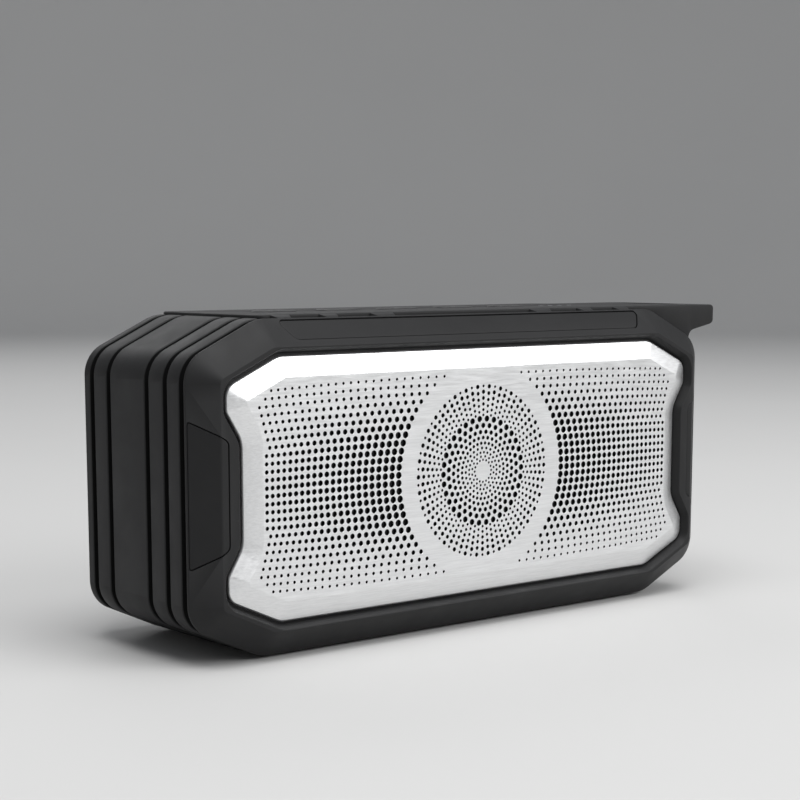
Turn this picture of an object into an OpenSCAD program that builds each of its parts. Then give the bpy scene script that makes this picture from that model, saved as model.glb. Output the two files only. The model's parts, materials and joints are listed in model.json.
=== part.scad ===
// Portable bluetooth speaker: a rugged octagonal housing with grooved sides, a brushed
// aluminium grille, two drivers, a passive radiator, a battery and a rear port door.
// X is the width, Y the depth with the grille facing -Y, and +Z is up.
// The origin is on the resting plane, below the centre of the housing.

/* [Body] */
// Width of the housing, without the strap lug
body_w = 210; // [208:1:214]
// Height of the housing, without the base pad and the deck
body_h = 97; // [96:1:100]
// Depth from the front ridge to the back
body_d = 70; // [69:1:74]
// Angle of the corner chamfers from horizontal
chamfer_angle = 25; // [24:0.5:26]
// Width of the flat along the top and the bottom
flat_w = 161.6; // [158:0.2:164]
// Rounding where the chamfers meet the ends
end_round = 10; // [8:1:12]
// Rounding where the chamfers meet the top and bottom
flat_round = 14; // [10:1:16]
// Wall thickness of the housing at a rib
wall = 4.6; // [4.4:0.1:4.8]

/* [Grooves] */
// Depth of the front bezel, up to the seam groove
bezel_d = 7; // [6.5:0.1:7.2]
// Width of the seam groove behind the bezel
seam_w = 2.7; // [2.4:0.1:3]
// Width of the other grooves
groove_w = 2.45; // [2.2:0.05:2.6]
// Depth of the grooves
groove_depth = 2.2; // [1.8:0.1:2.3]

/* [Bezel and grille] */
// Width of the slope from the outer edge to the front ridge
bezel_slope = 7.7; // [7.5:0.1:8]
// Half height of the grille plate
grille_half_h = 38.2; // [37.6:0.1:38.4]
// Half width of the grille plate at its four corners
grille_half_w = 94.4; // [93.8:0.1:94.6]
// Half width of the grille plate at its waist
waist_half_w = 89.3; // [88:0.1:90]
// Width of the sloping border of the grille plate
grille_border = 6; // [5.6:0.1:6.2]
// Drop of the sloping border
border_drop = 1.9; // [1.6:0.1:2]
// Sheet thickness of the grille
sheet_t = 1.2; // [1:0.1:1.4]
// Gap between the grille plate and the bezel
grille_gap = 0.7; // [0.5:0.1:0.8]
// Depth of the pad recesses in the bezel
pad_recess = 0.9; // [0.6:0.1:1]

/* [Perforations] */
// Spokes of the rosette
rosette_spokes = 34; // [30:1:36]
// Rows of holes in each side field
field_rows = 26; // [24:1:26]
// Spacing of the rows
row_pitch = 2.4; // [2.3:0.05:2.5]
// The plate is cut with one hole in this many, along the rows and across them
thinning = 2; // [1:1:4]
// Radius of the blank disc between the rosette and the side fields
blank_r = 34; // [33:0.5:36]

/* [Deck] */
// Height of the deck above the top of the housing
deck_proud = 0.9; // [0.6:0.1:1.2]
// How far the strap lug stands out from the side
lug_reach = 13.5; // [13:0.5:15]
// Thickness of the strap lug at its tip
lug_tip = 6.5; // [5.5:0.1:7]
// Width of the strap slot
slot_w = 6; // [5.5:0.1:6]
// Length of the strap slot
slot_l = 24; // [20:1:26]
// Number of buttons
button_count = 5; // [5:1:5]
// Distance between the buttons
button_pitch = 24; // [22:1:26]
// Travel of a button
button_travel = 0.6; // [0.4:0.1:0.6]

/* [Drivers] */
// Side of the square driver frames
frame_side = 52; // [50:1:52]
// Distance of each driver from the middle
driver_x = 55; // [54:0.5:55.5]
// Excursion of the cones
cone_travel = 1.2; // [0.8:0.1:1.2]

/* [Rear] */
// Width of the port door
door_w = 66; // [60:1:70]
// Height of the port door above its pin
door_h = 19; // [18:0.5:20]
// Height of the door pin above the resting plane
door_pin_z = 24.5; // [24:0.5:26]

/* [Base pad] */
// Height of the rubber base pad below the housing
foot_h = 1; // [0.8:0.1:1.2]
// Length of the base pad
pad_l = 150; // [130:1:154]
// Width of the base pad
pad_w = 34; // [28:1:38]

/* [Hidden] */
$fn = 48;
fit = 0.05;
mid_z = foot_h + body_h / 2;
top_z = foot_h + body_h;
front_y = -body_d / 2;
back_y = body_d / 2;

// Depth stations, measured from the front ridge
rib_depths = [5.9, 7.2, 18.5, 6.9];
rib_start_0 = bezel_d + seam_w;
rib_start_1 = rib_start_0 + rib_depths[0] + groove_w;
rib_start_2 = rib_start_1 + rib_depths[1] + groove_w;
rib_start_3 = rib_start_2 + rib_depths[2] + groove_w;
rib_starts = [rib_start_0, rib_start_1, rib_start_2, rib_start_3];
core_front = bezel_d + 0.6;
rear_start = rib_start_3 + rib_depths[3] + groove_w;
core_back = rear_start - 0.6;
rear_strip = 2.8;
rear_slope = 7;
rear_wall = 3.5;

// Baffle, cloth and grille planes
baffle_t = 3;
baffle_front = front_y + bezel_d;
baffle_back = baffle_front + baffle_t;
grille_edge_back = front_y + border_drop + sheet_t;
rim_set = 0.3;
rim_sink = 0.08;
cloth_t = 0.4;

// Pads in the bezel, with outlines listed as [x, height above the middle, corner radius]
pad_t = 1.2;
pad_inner_x = 94.9;
pad_outer_x = body_w / 2 - 0.6;
pad_low = 2;
pad_bottom = body_h / 2 - bezel_slope + pad_low;
long_pad = [[-70.5, pad_bottom, 2.5], [70.5, pad_bottom, 2.5], [76.2, 50, 0.5], [-76.2, 50, 0.5]];
end_pad = [[pad_inner_x, -15.1, 2.2], [106, -21.4, 0.5], [106, 21.4, 0.5], [pad_inner_x, 15.1, 2.2]];

// Deck and buttons
deck_seat = 1.6;
deck_top = top_z + deck_proud;
deck_left = -78;
deck_front = front_y + rib_start_0;
deck_back = 26.4;
lug_back = 20.4;
lug_end = body_w / 2 + lug_reach;
lug_root = -deck_left - 4;
lug_fillet = 2.7;
lug_fillet_x = body_w / 2 + 3;
lug_tip_r = 1.6;
lug_round = 8;
deck_round = 3;
button_l = 15;
button_w = 8;
button_gap = 0.35;
button_proud = 0.35;
button_y = 0;
button_shift = -6;
button_xs = [for (i = [0:button_count - 1]) (i - (button_count - 1) / 2) * button_pitch + button_shift];
light_xs = [for (i = [0:3]) button_xs[4] + 16 + 4.5 * i];
slot_x = body_w / 2 + 2.6;
button_board_z = top_z - 13.2;
switch_top = top_z - 8.4;

// Rear port bay
door_t = 2;
pin_y = back_y - 1.7;
pin_r = 0.75;
barrel_r = 1.6;
bay_floor_y = back_y - 7.5;
bay_bottom = door_pin_z + 2.4;
bay_top = door_pin_z + 17.4;
bay_half_w = 29;
port_z = (bay_bottom + bay_top) / 2;
usb_x = -18;
card_x = 0;
aux_x = 17;
board_y = 20.4;
board_t = 1.6;

// Screws
rear_screw_xz = [[86, 28], [-86, 28], [86, -28], [-86, -28], [0, 36], [0, -36]];
bezel_screw_xz = [[50, 36.3], [-50, 36.3], [50, -36.3], [-50, -36.3], [95.5, 0], [-95.5, 0]];
frame_hole = 22.7;
boss_r = 4;
boss_front = 11;
screw_r = 1.45;
pilot_r = 1.5;
board_post_x = 44;
board_post_z = 26;
panel_post_x = 64;

// Battery
cell_r = 9.2;
cell_l = 65;
cell_y = 8.6;
cell_dz = 9.6;
lead_r = 0.7;

// Colours
shell_black = [0.10, 0.10, 0.105];
pad_black = [0.075, 0.075, 0.08];
deck_black = [0.06, 0.06, 0.065];
rubber_black = [0.04, 0.04, 0.04];
aluminium = [0.84, 0.85, 0.86];
steel = [0.62, 0.63, 0.65];
board_green = [0.05, 0.28, 0.16];

// ---- Outlines -------------------------------------------------------------------------

function unit(v) = v / norm(v);
function cross2(a, b) = a[0] * b[1] - a[1] * b[0];
function xy(v) = [v[0], v[1]];
function wrap(v, i) = v[(i + len(v)) % len(v)];

// Arc of n + 1 points that rounds the corner p between its neighbours a and b
function corner(a, p, b, r, n) =
    let (
        u = unit(a - p),
        v = unit(b - p),
        half = acos(u * v) / 2,
        centre = p + unit(u + v) * (r / sin(half)),
        start = p + u * (r / tan(half)) - centre,
        turn = (180 - 2 * half) * sign(cross2(p - a, b - p)),
        from = atan2(start[1], start[0])
    )
    [for (i = [0:n]) centre + r * [cos(from + turn * i / n), sin(from + turn * i / n)]];

// Closed outline with rounded corners, from vertices [x, z, radius]
function rounded(v, n = 6) =
    [for (i = [0:len(v) - 1]) each corner(xy(wrap(v, i - 1)), xy(v[i]), xy(wrap(v, i + 1)), v[i][2], n)];

// Normal that points out of an edge of a counter-clockwise outline
function out_normal(a, b) = let (d = unit(b - a)) [d[1], -d[0]];

// The same outline moved inwards by t, with its radii to match
function inset(v, t) =
    [for (i = [0:len(v) - 1])
        let (
            p = xy(v[i]),
            a = xy(wrap(v, i - 1)),
            b = xy(wrap(v, i + 1)),
            m = out_normal(a, p),
            k = out_normal(p, b),
            q = p - (m + k) * (t / (1 + m * k)),
            r = cross2(p - a, b - p) > 0 ? max(v[i][2] - t, 0.4) : v[i][2] + t
        )
        [q[0], q[1], r]];

// Full outline from the vertices of its upper right quarter, listed from +X round to +Z
function four_way(q) =
    let (last = len(q) - 1)
    concat(
        q,
        [for (i = [last:-1:0]) [-q[i][0], q[i][1], q[i][2]]],
        [for (p = q) [-p[0], -p[1], p[2]]],
        [for (i = [last:-1:0]) [q[i][0], -q[i][1], q[i][2]]]
    );

chamfer_rise = (body_w - flat_w) / 2 * tan(chamfer_angle);
body_outline = four_way([
    [body_w / 2, body_h / 2 - chamfer_rise, end_round],
    [flat_w / 2, body_h / 2, flat_round]
]);
grille_outline = four_way([
    [waist_half_w, 15, 8],
    [grille_half_w, 23.2, 3],
    [grille_half_w, 30.1, 4.5],
    [76.5, grille_half_h, 8]
]);
aperture = inset(grille_outline, grille_border + 0.8);

// Extrudes a front-view outline from depth y0 to depth y1
module slab(y0, y1) {
    translate([0, y1, mid_z]) rotate([90, 0, 0]) linear_extrude(y1 - y0) children();
}

module ring_slab(v, y0, y1) {
    slab(y0, y1) polygon(rounded(v));
}

// Solid between outline a at depth y0 and outline b, of as many corners, at depth y1
module loft(a, b, y0, y1) {
    pa = rounded(a);
    pb = rounded(b);
    n = len(pa);
    polyhedron(
        points = concat(
            [for (p = pa) [p[0], y0, p[1] + mid_z]],
            [for (p = pb) [p[0], y1, p[1] + mid_z]]
        ),
        faces = concat(
            [[for (i = [n - 1:-1:0]) i]],
            [[for (i = [0:n - 1]) n + i]],
            [for (i = [0:n - 1]) [i, (i + 1) % n, n + (i + 1) % n]],
            [for (i = [0:n - 1]) [i, n + (i + 1) % n, n + i]]
        )
    );
}

// Round solid on a front-to-back axis at x, z above the middle; its local +Z looks forwards
module facing(x, y, z = 0) {
    translate([x, y, mid_z + z]) rotate([90, 0, 0]) children();
}

// The same, with its local +Z looking backwards
module facing_back(x, y, z) {
    translate([x, y, mid_z + z]) rotate([-90, 0, 0]) children();
}

module bar(x0, x1, y0, y1, z0, z1) {
    translate([x0, y0, z0]) cube([x1 - x0, y1 - y0, z1 - z0]);
}

module round_square(l, w, r) {
    square([l, w - 2 * r], center = true);
    square([l - 2 * r, w], center = true);
    for (x = [-1, 1], y = [-1, 1]) translate([(l / 2 - r) * x, (w / 2 - r) * y]) circle(r = r);
}

module stadium(l, w) {
    translate([-(l - w) / 2, 0]) circle(d = w);
    translate([(l - w) / 2, 0]) circle(d = w);
    square([l - w, w], center = true);
}

// ---- Bezel, pads and grille -------------------------------------------------------------

// The bezel's outer surface moved inwards by t
module bezel_blank(t) {
    loft(
        inset(body_outline, bezel_slope + 0.376 * t),
        inset(body_outline, t),
        front_y + t,
        front_y + bezel_d
    );
}

// Line of the bezel's cross-section at depth t below its surface, on the end face and its slope
function slope_r(t) = body_w / 2 - bezel_slope - 0.376 * t;
function end_line(t) = [
    [pad_inner_x - 1, front_y + t],
    [slope_r(t), front_y + t],
    [pad_outer_x, front_y + t + (pad_outer_x - slope_r(t)) * bezel_d / bezel_slope]
];
function flip(v) = [for (i = [len(v) - 1:-1:0]) v[i]];

// The same for the long slope: two points, in depth and height above the middle
slope_normal = unit([bezel_slope, -bezel_d]);
function long_line(t) = [for (h = [pad_low - 1, bezel_slope - 0.6])
    [front_y + h * bezel_d / bezel_slope, body_h / 2 - bezel_slope + h] + slope_normal * t];

// Band between two depths below the bezel's surface, cut to the outline of one pad
module pad_band(side, t0, t1) {
    if (side == "top") intersection() {
        translate([-80, 0, mid_z]) rotate([90, 0, 90]) linear_extrude(160)
            polygon(concat(long_line(t0), flip(long_line(t1))));
        slab(front_y - 3, front_y + bezel_d - 0.4) polygon(rounded(long_pad));
    }
    if (side == "right") intersection() {
        translate([0, 0, mid_z - 25]) linear_extrude(50) polygon(concat(end_line(t0), flip(end_line(t1))));
        slab(front_y - 3, front_y + bezel_d - 0.4) polygon(rounded(end_pad));
    }
    if (side == "bottom") mirror_z() pad_band("top", t0, t1);
    if (side == "left") mirror([1, 0, 0]) pad_band("right", t0, t1);
}

module mirror_z() {
    translate([0, 0, mid_z]) mirror([0, 0, 1]) translate([0, 0, -mid_z]) children();
}

module pad(side) {
    color(pad_black) pad_band(side, pad_recess, pad_recess + pad_t);
}

module front_bezel() {
    edge = inset(grille_outline, -grille_gap);
    color(shell_black) difference() {
        bezel_blank(0);
        loft(inset(edge, -1.92), edge, front_y - 1, front_y + 2.7);
        ring_slab(inset(edge, 0.1), front_y + 2.2, grille_edge_back);
        ring_slab(aperture, front_y, front_y + bezel_d + 1);
        for (side = ["top", "bottom", "left", "right"]) pad_band(side, -1, pad_recess + pad_t);
        for (p = bezel_screw_xz) facing(p[0], front_y + bezel_d + 1, p[1]) cylinder(r = 1.1, h = 3.6);
    }
}

module top_pad() pad("top");
module bottom_pad() pad("bottom");
module left_pad() pad("left");
module right_pad() pad("right");

// Rosette: rings of holes on alternate half steps of the spokes
module rosette_ring(r, hole, count, shift) {
    for (i = [0:thinning:count - 1])
        rotate((i + shift) * 360 / count) translate([r, 0]) circle(r = hole, $fn = 16);
}

function inner_ring_r(k) = 3.45 + 1.02 * k + 0.073 * k * k;
function inner_hole_r(k) = 0.38 + 0.009 * k * k;
function inner_count(k) = k < 2 ? 16 : k < 4 ? 25 : rosette_spokes;
function outer_ring_r(j) = 17.4 + 1.62 * j + 0.045 * j * j;
function outer_hole_r(j) = 0.44 + 0.045 * j + 0.004 * j * j;

module rosette() {
    for (k = [0:thinning:8]) rosette_ring(inner_ring_r(k), inner_hole_r(k), inner_count(k), (k % 2) / 2);
    for (j = [0:thinning:4]) {
        rosette_ring(outer_ring_r(j), outer_hole_r(j), rosette_spokes, 0.5);
        rosette_ring(outer_ring_r(j) + 1 + 0.17 * j, outer_hole_r(j) + 0.01, rosette_spokes, 0);
    }
    rosette_ring(26.4, 0.45, rosette_spokes, 0.5);
}

// Side field: bowed rows that start on the blank disc and shrink outwards
function row_end(z) =
    abs(z) < 13 ? 82.3
    : abs(z) < 25 ? 81 + 0.28 * (abs(z) - 13)
    : 84.6 - 0.85 * (abs(z) - 25);
function near_hole(z) = 1.06 - 0.62 * pow(max(abs(z) - 13, 0) / 17, 1.1);
function far_hole(z) = 0.68 - 0.24 * abs(z) / 30;

module side_field() {
    for (k = [0:thinning:field_rows - 1]) {
        z = (k - (field_rows - 1) / 2) * row_pitch;
        x0 = sqrt(blank_r * blank_r - z * z);
        x1 = row_end(z);
        count = round((x1 - x0) / (2.25 + 0.5 * abs(z) / 30)) + 1;
        for (i = [0:thinning:count - 1]) {
            t = i / (count - 1);
            translate([x0 + (x1 - x0) * t * (1.15 - 0.15 * t), z * (1 - 0.045 * t * t)])
                circle(r = near_hole(z) + (far_hole(z) - near_hole(z)) * t, $fn = 16);
        }
    }
}

module grille_panel() {
    plateau = inset(grille_outline, grille_border);
    color(aluminium) {
        difference() {
            loft(plateau, grille_outline, front_y, front_y + border_drop);
            ring_slab(inset(plateau, 0.5), front_y - 1, front_y + bezel_d);
        }
        difference() {
            ring_slab(inset(grille_outline, rim_set), front_y + border_drop - rim_sink, grille_edge_back);
            ring_slab(inset(grille_outline, rim_set + sheet_t), front_y, front_y + bezel_d);
        }
        slab(front_y, front_y + sheet_t) difference() {
            polygon(rounded(inset(plateau, 0.4)));
            rosette();
            side_field();
            mirror([1, 0]) side_field();
        }
    }
}

module grille_cloth() {
    behind = front_y + sheet_t;
    color([0.13, 0.13, 0.14])
        ring_slab(inset(grille_outline, grille_border + 0.9), behind + 0.02, behind + cloth_t);
}

// ---- Housing ----------------------------------------------------------------------------

module main_housing() {
    inner_back = front_y + core_back;
    post_z = button_board_z + 1.2;
    color(shell_black) {
        difference() {
            union() {
                for (i = [0:3])
                    ring_slab(body_outline, front_y + rib_starts[i], front_y + rib_starts[i] + rib_depths[i]);
                ring_slab(inset(body_outline, groove_depth), front_y + core_front, front_y + core_back);
            }
            ring_slab(inset(body_outline, wall), front_y, back_y);
            bar(deck_left, -deck_left, deck_front - 3, deck_back, top_z - deck_seat, top_z + 1);
            for (x = button_xs)
                translate([x, button_y, top_z - 8]) linear_extrude(9) stadium(button_l + 3, button_w + 3);
            base_pad_shape();
        }
        difference() {
            for (p = rear_screw_xz) {
                reach = p[0] == 0 ? 9 : 14.5;
                ends = [mid_z + p[1], mid_z + p[1] + sign(p[1]) * reach];
                facing(p[0], inner_back, p[1]) cylinder(r = boss_r, h = inner_back - boss_front);
                bar(p[0] - 1.2, p[0] + 1.2, boss_front, inner_back, min(ends), max(ends));
            }
            for (p = rear_screw_xz)
                facing(p[0], back_y, p[1]) cylinder(r = pilot_r, h = back_y - boss_front - 1.5);
        }
        difference() {
            for (x = [-panel_post_x, panel_post_x])
                translate([x, 0, post_z]) cylinder(r = 3, h = top_z - wall + 0.5 - post_z);
            for (x = [-panel_post_x, panel_post_x])
                translate([x, 0, button_board_z]) cylinder(r = 1.1, h = 6);
        }
    }
}

module front_gasket() {
    color(rubber_black) difference() {
        ring_slab(inset(body_outline, groove_depth + 0.2), front_y + bezel_d, front_y + core_front);
        ring_slab(inset(body_outline, wall - 0.2), front_y + bezel_d - 1, front_y + core_front + 1);
    }
}

module rear_gasket() {
    color(rubber_black) difference() {
        ring_slab(inset(body_outline, groove_depth + 0.2), front_y + core_back, front_y + rear_start);
        ring_slab(inset(body_outline, wall - 0.2), front_y + core_back - 1, front_y + rear_start + 1);
    }
}

module rear_cover() {
    y0 = front_y + rear_start;
    y1 = y0 + rear_strip;
    floor_y = back_y - rear_wall;
    half_door = door_w / 2 + 0.4;
    door_low = door_pin_z - 2.4;
    color(shell_black) difference() {
        union() {
            difference() {
                union() {
                    ring_slab(body_outline, y0, y1);
                    loft(body_outline, inset(body_outline, rear_slope), y1, back_y);
                }
                ring_slab(inset(body_outline, wall), y0 - 1, y1);
                ring_slab(inset(body_outline, rear_slope + 2), y1 - 1, floor_y);
                bar(deck_left, -deck_left, y0 - 1, deck_back, top_z - deck_seat, top_z + 1);
            }
            bar(-bay_half_w - 2, bay_half_w + 2, bay_floor_y - 1.5, floor_y + 1, bay_bottom - 2, bay_top + 2);
            bar(-door_w / 2 - 2, door_w / 2 + 2, back_y - 6.5, floor_y + 1, door_pin_z - 4.5, bay_bottom);
            for (x = [-1, 1], z = [-1, 1])
                facing(board_post_x * x, floor_y + 1, board_post_z * z)
                    cylinder(r = 3, h = floor_y + 1 - board_y - board_t);
        }
        bar(-half_door, half_door, back_y - door_t - 0.3, back_y + 1, door_low, door_pin_z + door_h + 0.5);
        bar(-half_door, half_door, pin_y - 2, back_y + 1, door_low, door_pin_z + 2);
        bar(-bay_half_w, bay_half_w, bay_floor_y, back_y + 1, bay_bottom, bay_top);
        on_door_axis(pin_r, door_w + 3);
        facing(usb_x, bay_floor_y + 1, port_z - mid_z) linear_extrude(4) stadium(9.4, 3.7);
        facing(aux_x, bay_floor_y + 1, port_z - mid_z) cylinder(r = 3.3, h = 4);
        bar(card_x - 6.6, card_x + 6.6, bay_floor_y - 3, bay_floor_y + 1, port_z - 1.3, port_z + 1.3);
        for (p = rear_screw_xz) {
            facing(p[0], back_y + 1, p[1]) cylinder(r = 1.7, h = 20);
            facing(p[0], back_y + 1, p[1]) cylinder(r = 3.1, h = 2.6);
        }
        for (x = [-1, 1], z = [-1, 1])
            facing(board_post_x * x, floor_y - 2, board_post_z * z) cylinder(r = 1.1, h = 12);
    }
}

module baffle() {
    color([0.09, 0.09, 0.09]) difference() {
        ring_slab(inset(body_outline, wall + 0.4), baffle_front, baffle_back);
        for (x = [-driver_x, 0, driver_x]) facing(x, baffle_back + 1) cylinder(r = 23.2, h = baffle_t + 2);
        for (p = bezel_screw_xz) facing(p[0], baffle_back + 1, p[1]) cylinder(r = 1.4, h = baffle_t + 2);
        for (x = [-driver_x, 0, driver_x], i = [-1, 1], j = [-1, 1])
            facing(x + frame_hole * i, baffle_back + 1, frame_hole * j) cylinder(r = 1, h = baffle_t + 2);
    }
}

// ---- Deck and buttons ---------------------------------------------------------------------

module deck_plan() {
    r = deck_round;
    translate([deck_left + r, deck_front]) square([lug_end - deck_left - r, 20]);
    translate([deck_left + r, deck_front + r]) square([-2 * (deck_left + r), deck_back - deck_front - r]);
    translate([deck_left, deck_front + r]) square([10, deck_back - deck_front - 2 * r]);
    for (y = [deck_front + r, deck_back - r]) translate([deck_left + r, y]) circle(r = r);
    translate([lug_root, deck_front]) square([lug_end - lug_round - lug_root, lug_back - deck_front]);
    translate([lug_end - lug_round, deck_front + lug_round])
        square([lug_round, lug_back - deck_front - 2 * lug_round]);
    translate([lug_end - lug_round, lug_back - lug_round]) circle(r = lug_round);
}

// Front view of the lug, with a hollow fillet under it
module lug_profile() {
    half = body_h / 2;
    top = half + deck_proud;
    tip_low = top - lug_tip;
    r = lug_tip_r;
    polygon(concat(
        [[lug_root, half - 6], [body_w / 2 - 1, top - 18], [body_w / 2 + 0.1, top - 15]],
        [for (a = [180:-16:100]) [lug_fillet_x + lug_fillet * cos(a), top - 11.3 + lug_fillet * sin(a)]],
        [for (a = [0:22.5:90]) [lug_end - r + r * sin(a), tip_low + r - r * cos(a)]],
        [for (a = [0:22.5:90]) [lug_end - r + r * cos(a), top - r + r * sin(a)]],
        [[lug_root, top]]
    ));
}

// Sloping tab from the deck down over the seam groove, narrower at the bezel
module bridge_tab(x, w) {
    low = top_z - deck_seat + 0.3;
    high = deck_top - 0.05;
    back = deck_front + 0.4;
    tip = deck_front - seam_w + 0.3;
    intersection() {
        translate([x, 0, low]) linear_extrude(deck_top - low)
            polygon([[-w / 2 - 1, back], [-w / 2 + 0.4, tip], [w / 2 - 0.4, tip], [w / 2 + 1, back]]);
        translate([x - w, 0, 0]) rotate([90, 0, 90]) linear_extrude(2 * w)
            polygon([[back, low], [back, high], [deck_front, high], [tip, top_z + 0.15], [tip, low]]);
    }
}

module top_deck() {
    color(deck_black) difference() {
        union() {
            intersection() {
                bar(deck_left, -deck_left, deck_front, deck_back, top_z - deck_seat, deck_top);
                translate([0, 0, mid_z]) linear_extrude(body_h) deck_plan();
            }
            intersection() {
                difference() {
                    slab(deck_front, lug_back) lug_profile();
                    ring_slab(body_outline, deck_front - 1, lug_back + 1);
                }
                translate([0, 0, mid_z]) linear_extrude(body_h) deck_plan();
            }
            for (side = [-1, 1]) {
                bridge_tab(side * 32.8, 7.5);
                bridge_tab(side * 53, 5);
                bridge_tab(side * 70.2, 5.3);
            }
        }
        for (x = button_xs) translate([x, button_y, mid_z])
            linear_extrude(body_h) stadium(button_l + 2 * button_gap, button_w + 2 * button_gap);
        for (x = light_xs) translate([x, button_y, mid_z]) cylinder(r = 0.95, h = body_h);
        translate([slot_x, (deck_front + lug_back - slot_l) / 2, mid_z]) cube([slot_w, slot_l, body_h]);
    }
}

module button(i) {
    seat_z = top_z - deck_seat;
    stem_z = switch_top + button_travel + 0.2;
    color([0.08, 0.08, 0.085]) translate([button_xs[i], button_y, 0]) {
        translate([0, 0, seat_z])
            linear_extrude(deck_top + button_proud - seat_z) stadium(button_l, button_w);
        translate([0, 0, seat_z - 1.2]) linear_extrude(1.2 - 0.1) stadium(button_l + 2, button_w + 2);
        translate([0, 0, stem_z]) cylinder(r = 1.8, h = seat_z - 0.2 - stem_z);
        translate([0, 0, seat_z - 0.2]) linear_extrude(0.3) stadium(button_l, button_w);
    }
}

module power_button() button(0);
module volume_down_button() button(1);
module play_button() button(2);
module volume_up_button() button(3);
module pairing_button() button(4);

module light_pipes() {
    color([0.8, 0.85, 0.9]) for (x = light_xs)
        translate([x, button_y, top_z - deck_seat]) cylinder(r = 0.9, h = deck_seat + deck_proud);
}

module button_board() {
    color(board_green) difference() {
        bar(-70, 74, -7, 7, button_board_z, button_board_z + 1.2);
        for (x = [-panel_post_x, panel_post_x])
            translate([x, 0, button_board_z - 1]) cylinder(r = 1.4, h = 4);
    }
}

module tact_switches() {
    color(steel) for (x = button_xs) {
        bar(x - 3, x + 3, -3, 3, button_board_z + 1.2, switch_top - 0.8);
        translate([x, 0, switch_top - 1]) cylinder(r = 1.6, h = 1);
    }
}

// ---- Drivers --------------------------------------------------------------------------------

module square_flange(hole_r) {
    difference() {
        linear_extrude(1.5) difference() {
            round_square(frame_side, frame_side, 3);
            circle(r = hole_r);
        }
        for (i = [-1, 1], j = [-1, 1])
            translate([frame_hole * i, frame_hole * j, -1]) cylinder(r = 1.3, h = 4);
    }
}

module driver_frame(x) {
    color([0.16, 0.16, 0.17]) facing(x, baffle_front) {
        square_flange(21.9);
        difference() {
            rotate_extrude() polygon([[21.9, 0.5], [23, 0.5], [23, -1], [16.2, -12.5], [16.2, -14], [12, -14],
                [12, -12.6], [15, -12.6], [21.9, -1]]);
            for (a = [45:90:315]) rotate(a) translate([12, -5, -9.8]) cube([14, 10, 6]);
        }
    }
}

module driver_magnet(x) {
    color(steel) facing(x, baffle_front) {
        difference() {
            translate([0, 0, -16]) cylinder(r = 16, h = 2);
            translate([0, 0, -17]) cylinder(r = 7.9, h = 4);
        }
        difference() {
            translate([0, 0, -24]) cylinder(r = 16.6, h = 8);
            translate([0, 0, -25]) cylinder(r = 9, h = 10);
        }
        translate([0, 0, -26]) cylinder(r = 16, h = 2);
        translate([0, 0, -24.5]) cylinder(r = 6.3, h = 10.5);
    }
}

module roll_surround(inner_r, roll, seat) {
    // half round roll, with a flat lip that is glued to the frame at height seat
    mid = inner_r + roll;
    rotate_extrude() difference() {
        union() {
            translate([mid, seat]) circle(r = roll);
            translate([mid, seat]) square([roll + 1.5, 0.5]);
        }
        translate([mid, seat]) circle(r = roll - 0.5);
        translate([0, seat - 10]) square([mid + roll + 4, 10]);
    }
}

module driver_surround(x) {
    color(rubber_black) facing(x, baffle_front) roll_surround(18.6, 2, 1.5);
}

module driver_cone(x) {
    color([0.2, 0.2, 0.21]) facing(x, baffle_front)
        rotate_extrude() polygon([[18.3, 1.7], [18.3, 1.1], [17.2, 0.7], [7.9, -8],
            [7.4, -8], [7.4, -7.2], [16.8, 1.5]]);
}

module driver_cap(x) {
    color([0.26, 0.26, 0.27]) facing(x, baffle_front) intersection() {
        difference() {
            translate([0, 0, -15.2]) sphere(r = 12);
            translate([0, 0, -15.2]) sphere(r = 11.5);
        }
        translate([0, 0, -5.7]) cylinder(r = 7.36, h = 8);
    }
}

module driver_coil(x) {
    color([0.7, 0.4, 0.2]) facing(x, baffle_front) difference() {
        translate([0, 0, -18.5]) cylinder(r = 7.38, h = 12.6);
        translate([0, 0, -19]) cylinder(r = 6.9, h = 14);
    }
}

module driver_spider(x) {
    color([0.75, 0.6, 0.3]) facing(x, baffle_front) rotate_extrude() polygon([[7.8, -11.2], [9.6, -10.6],
        [11.4, -11.6], [13.2, -10.8], [14.9, -12.6], [14.4, -12.6], [13, -11.4], [11.3, -12.2],
        [9.5, -11.2], [7.8, -11.8]]);
}

module left_frame() driver_frame(-driver_x);
module right_frame() driver_frame(driver_x);
module left_magnet() driver_magnet(-driver_x);
module right_magnet() driver_magnet(driver_x);
module left_surround() driver_surround(-driver_x);
module right_surround() driver_surround(driver_x);
module left_spider() driver_spider(-driver_x);
module right_spider() driver_spider(driver_x);
module left_cone() driver_cone(-driver_x);
module right_cone() driver_cone(driver_x);
module left_dust_cap() driver_cap(-driver_x);
module right_dust_cap() driver_cap(driver_x);
module left_voice_coil() driver_coil(-driver_x);
module right_voice_coil() driver_coil(driver_x);

module radiator_frame() {
    color([0.16, 0.16, 0.17]) facing(0, baffle_front) {
        square_flange(21.4);
        difference() {
            translate([0, 0, -7]) cylinder(r = 23, h = 8);
            translate([0, 0, -8]) cylinder(r = 21.4, h = 10);
        }
    }
}

module radiator_surround() {
    color(rubber_black) facing(0, baffle_front) roll_surround(16.2, 2.9, 1.5);
}

module radiator_plate() {
    color([0.5, 0.5, 0.52]) facing(0, baffle_front) {
        cylinder(r = 15.9, h = 1.9);
        translate([0, 0, -3]) cylinder(r = 8, h = 3);
    }
}

// ---- Power and electronics -------------------------------------------------------------------

module cell(side) {
    color([0.16, 0.35, 0.62]) translate([0, cell_y, mid_z + side * cell_dz]) rotate([0, 90, 0]) {
        cylinder(r = cell_r, h = cell_l, center = true);
        cylinder(r = 3.2, h = cell_l + 1.6, center = true);
    }
}

module upper_cell() cell(1);
module lower_cell() cell(-1);

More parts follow.
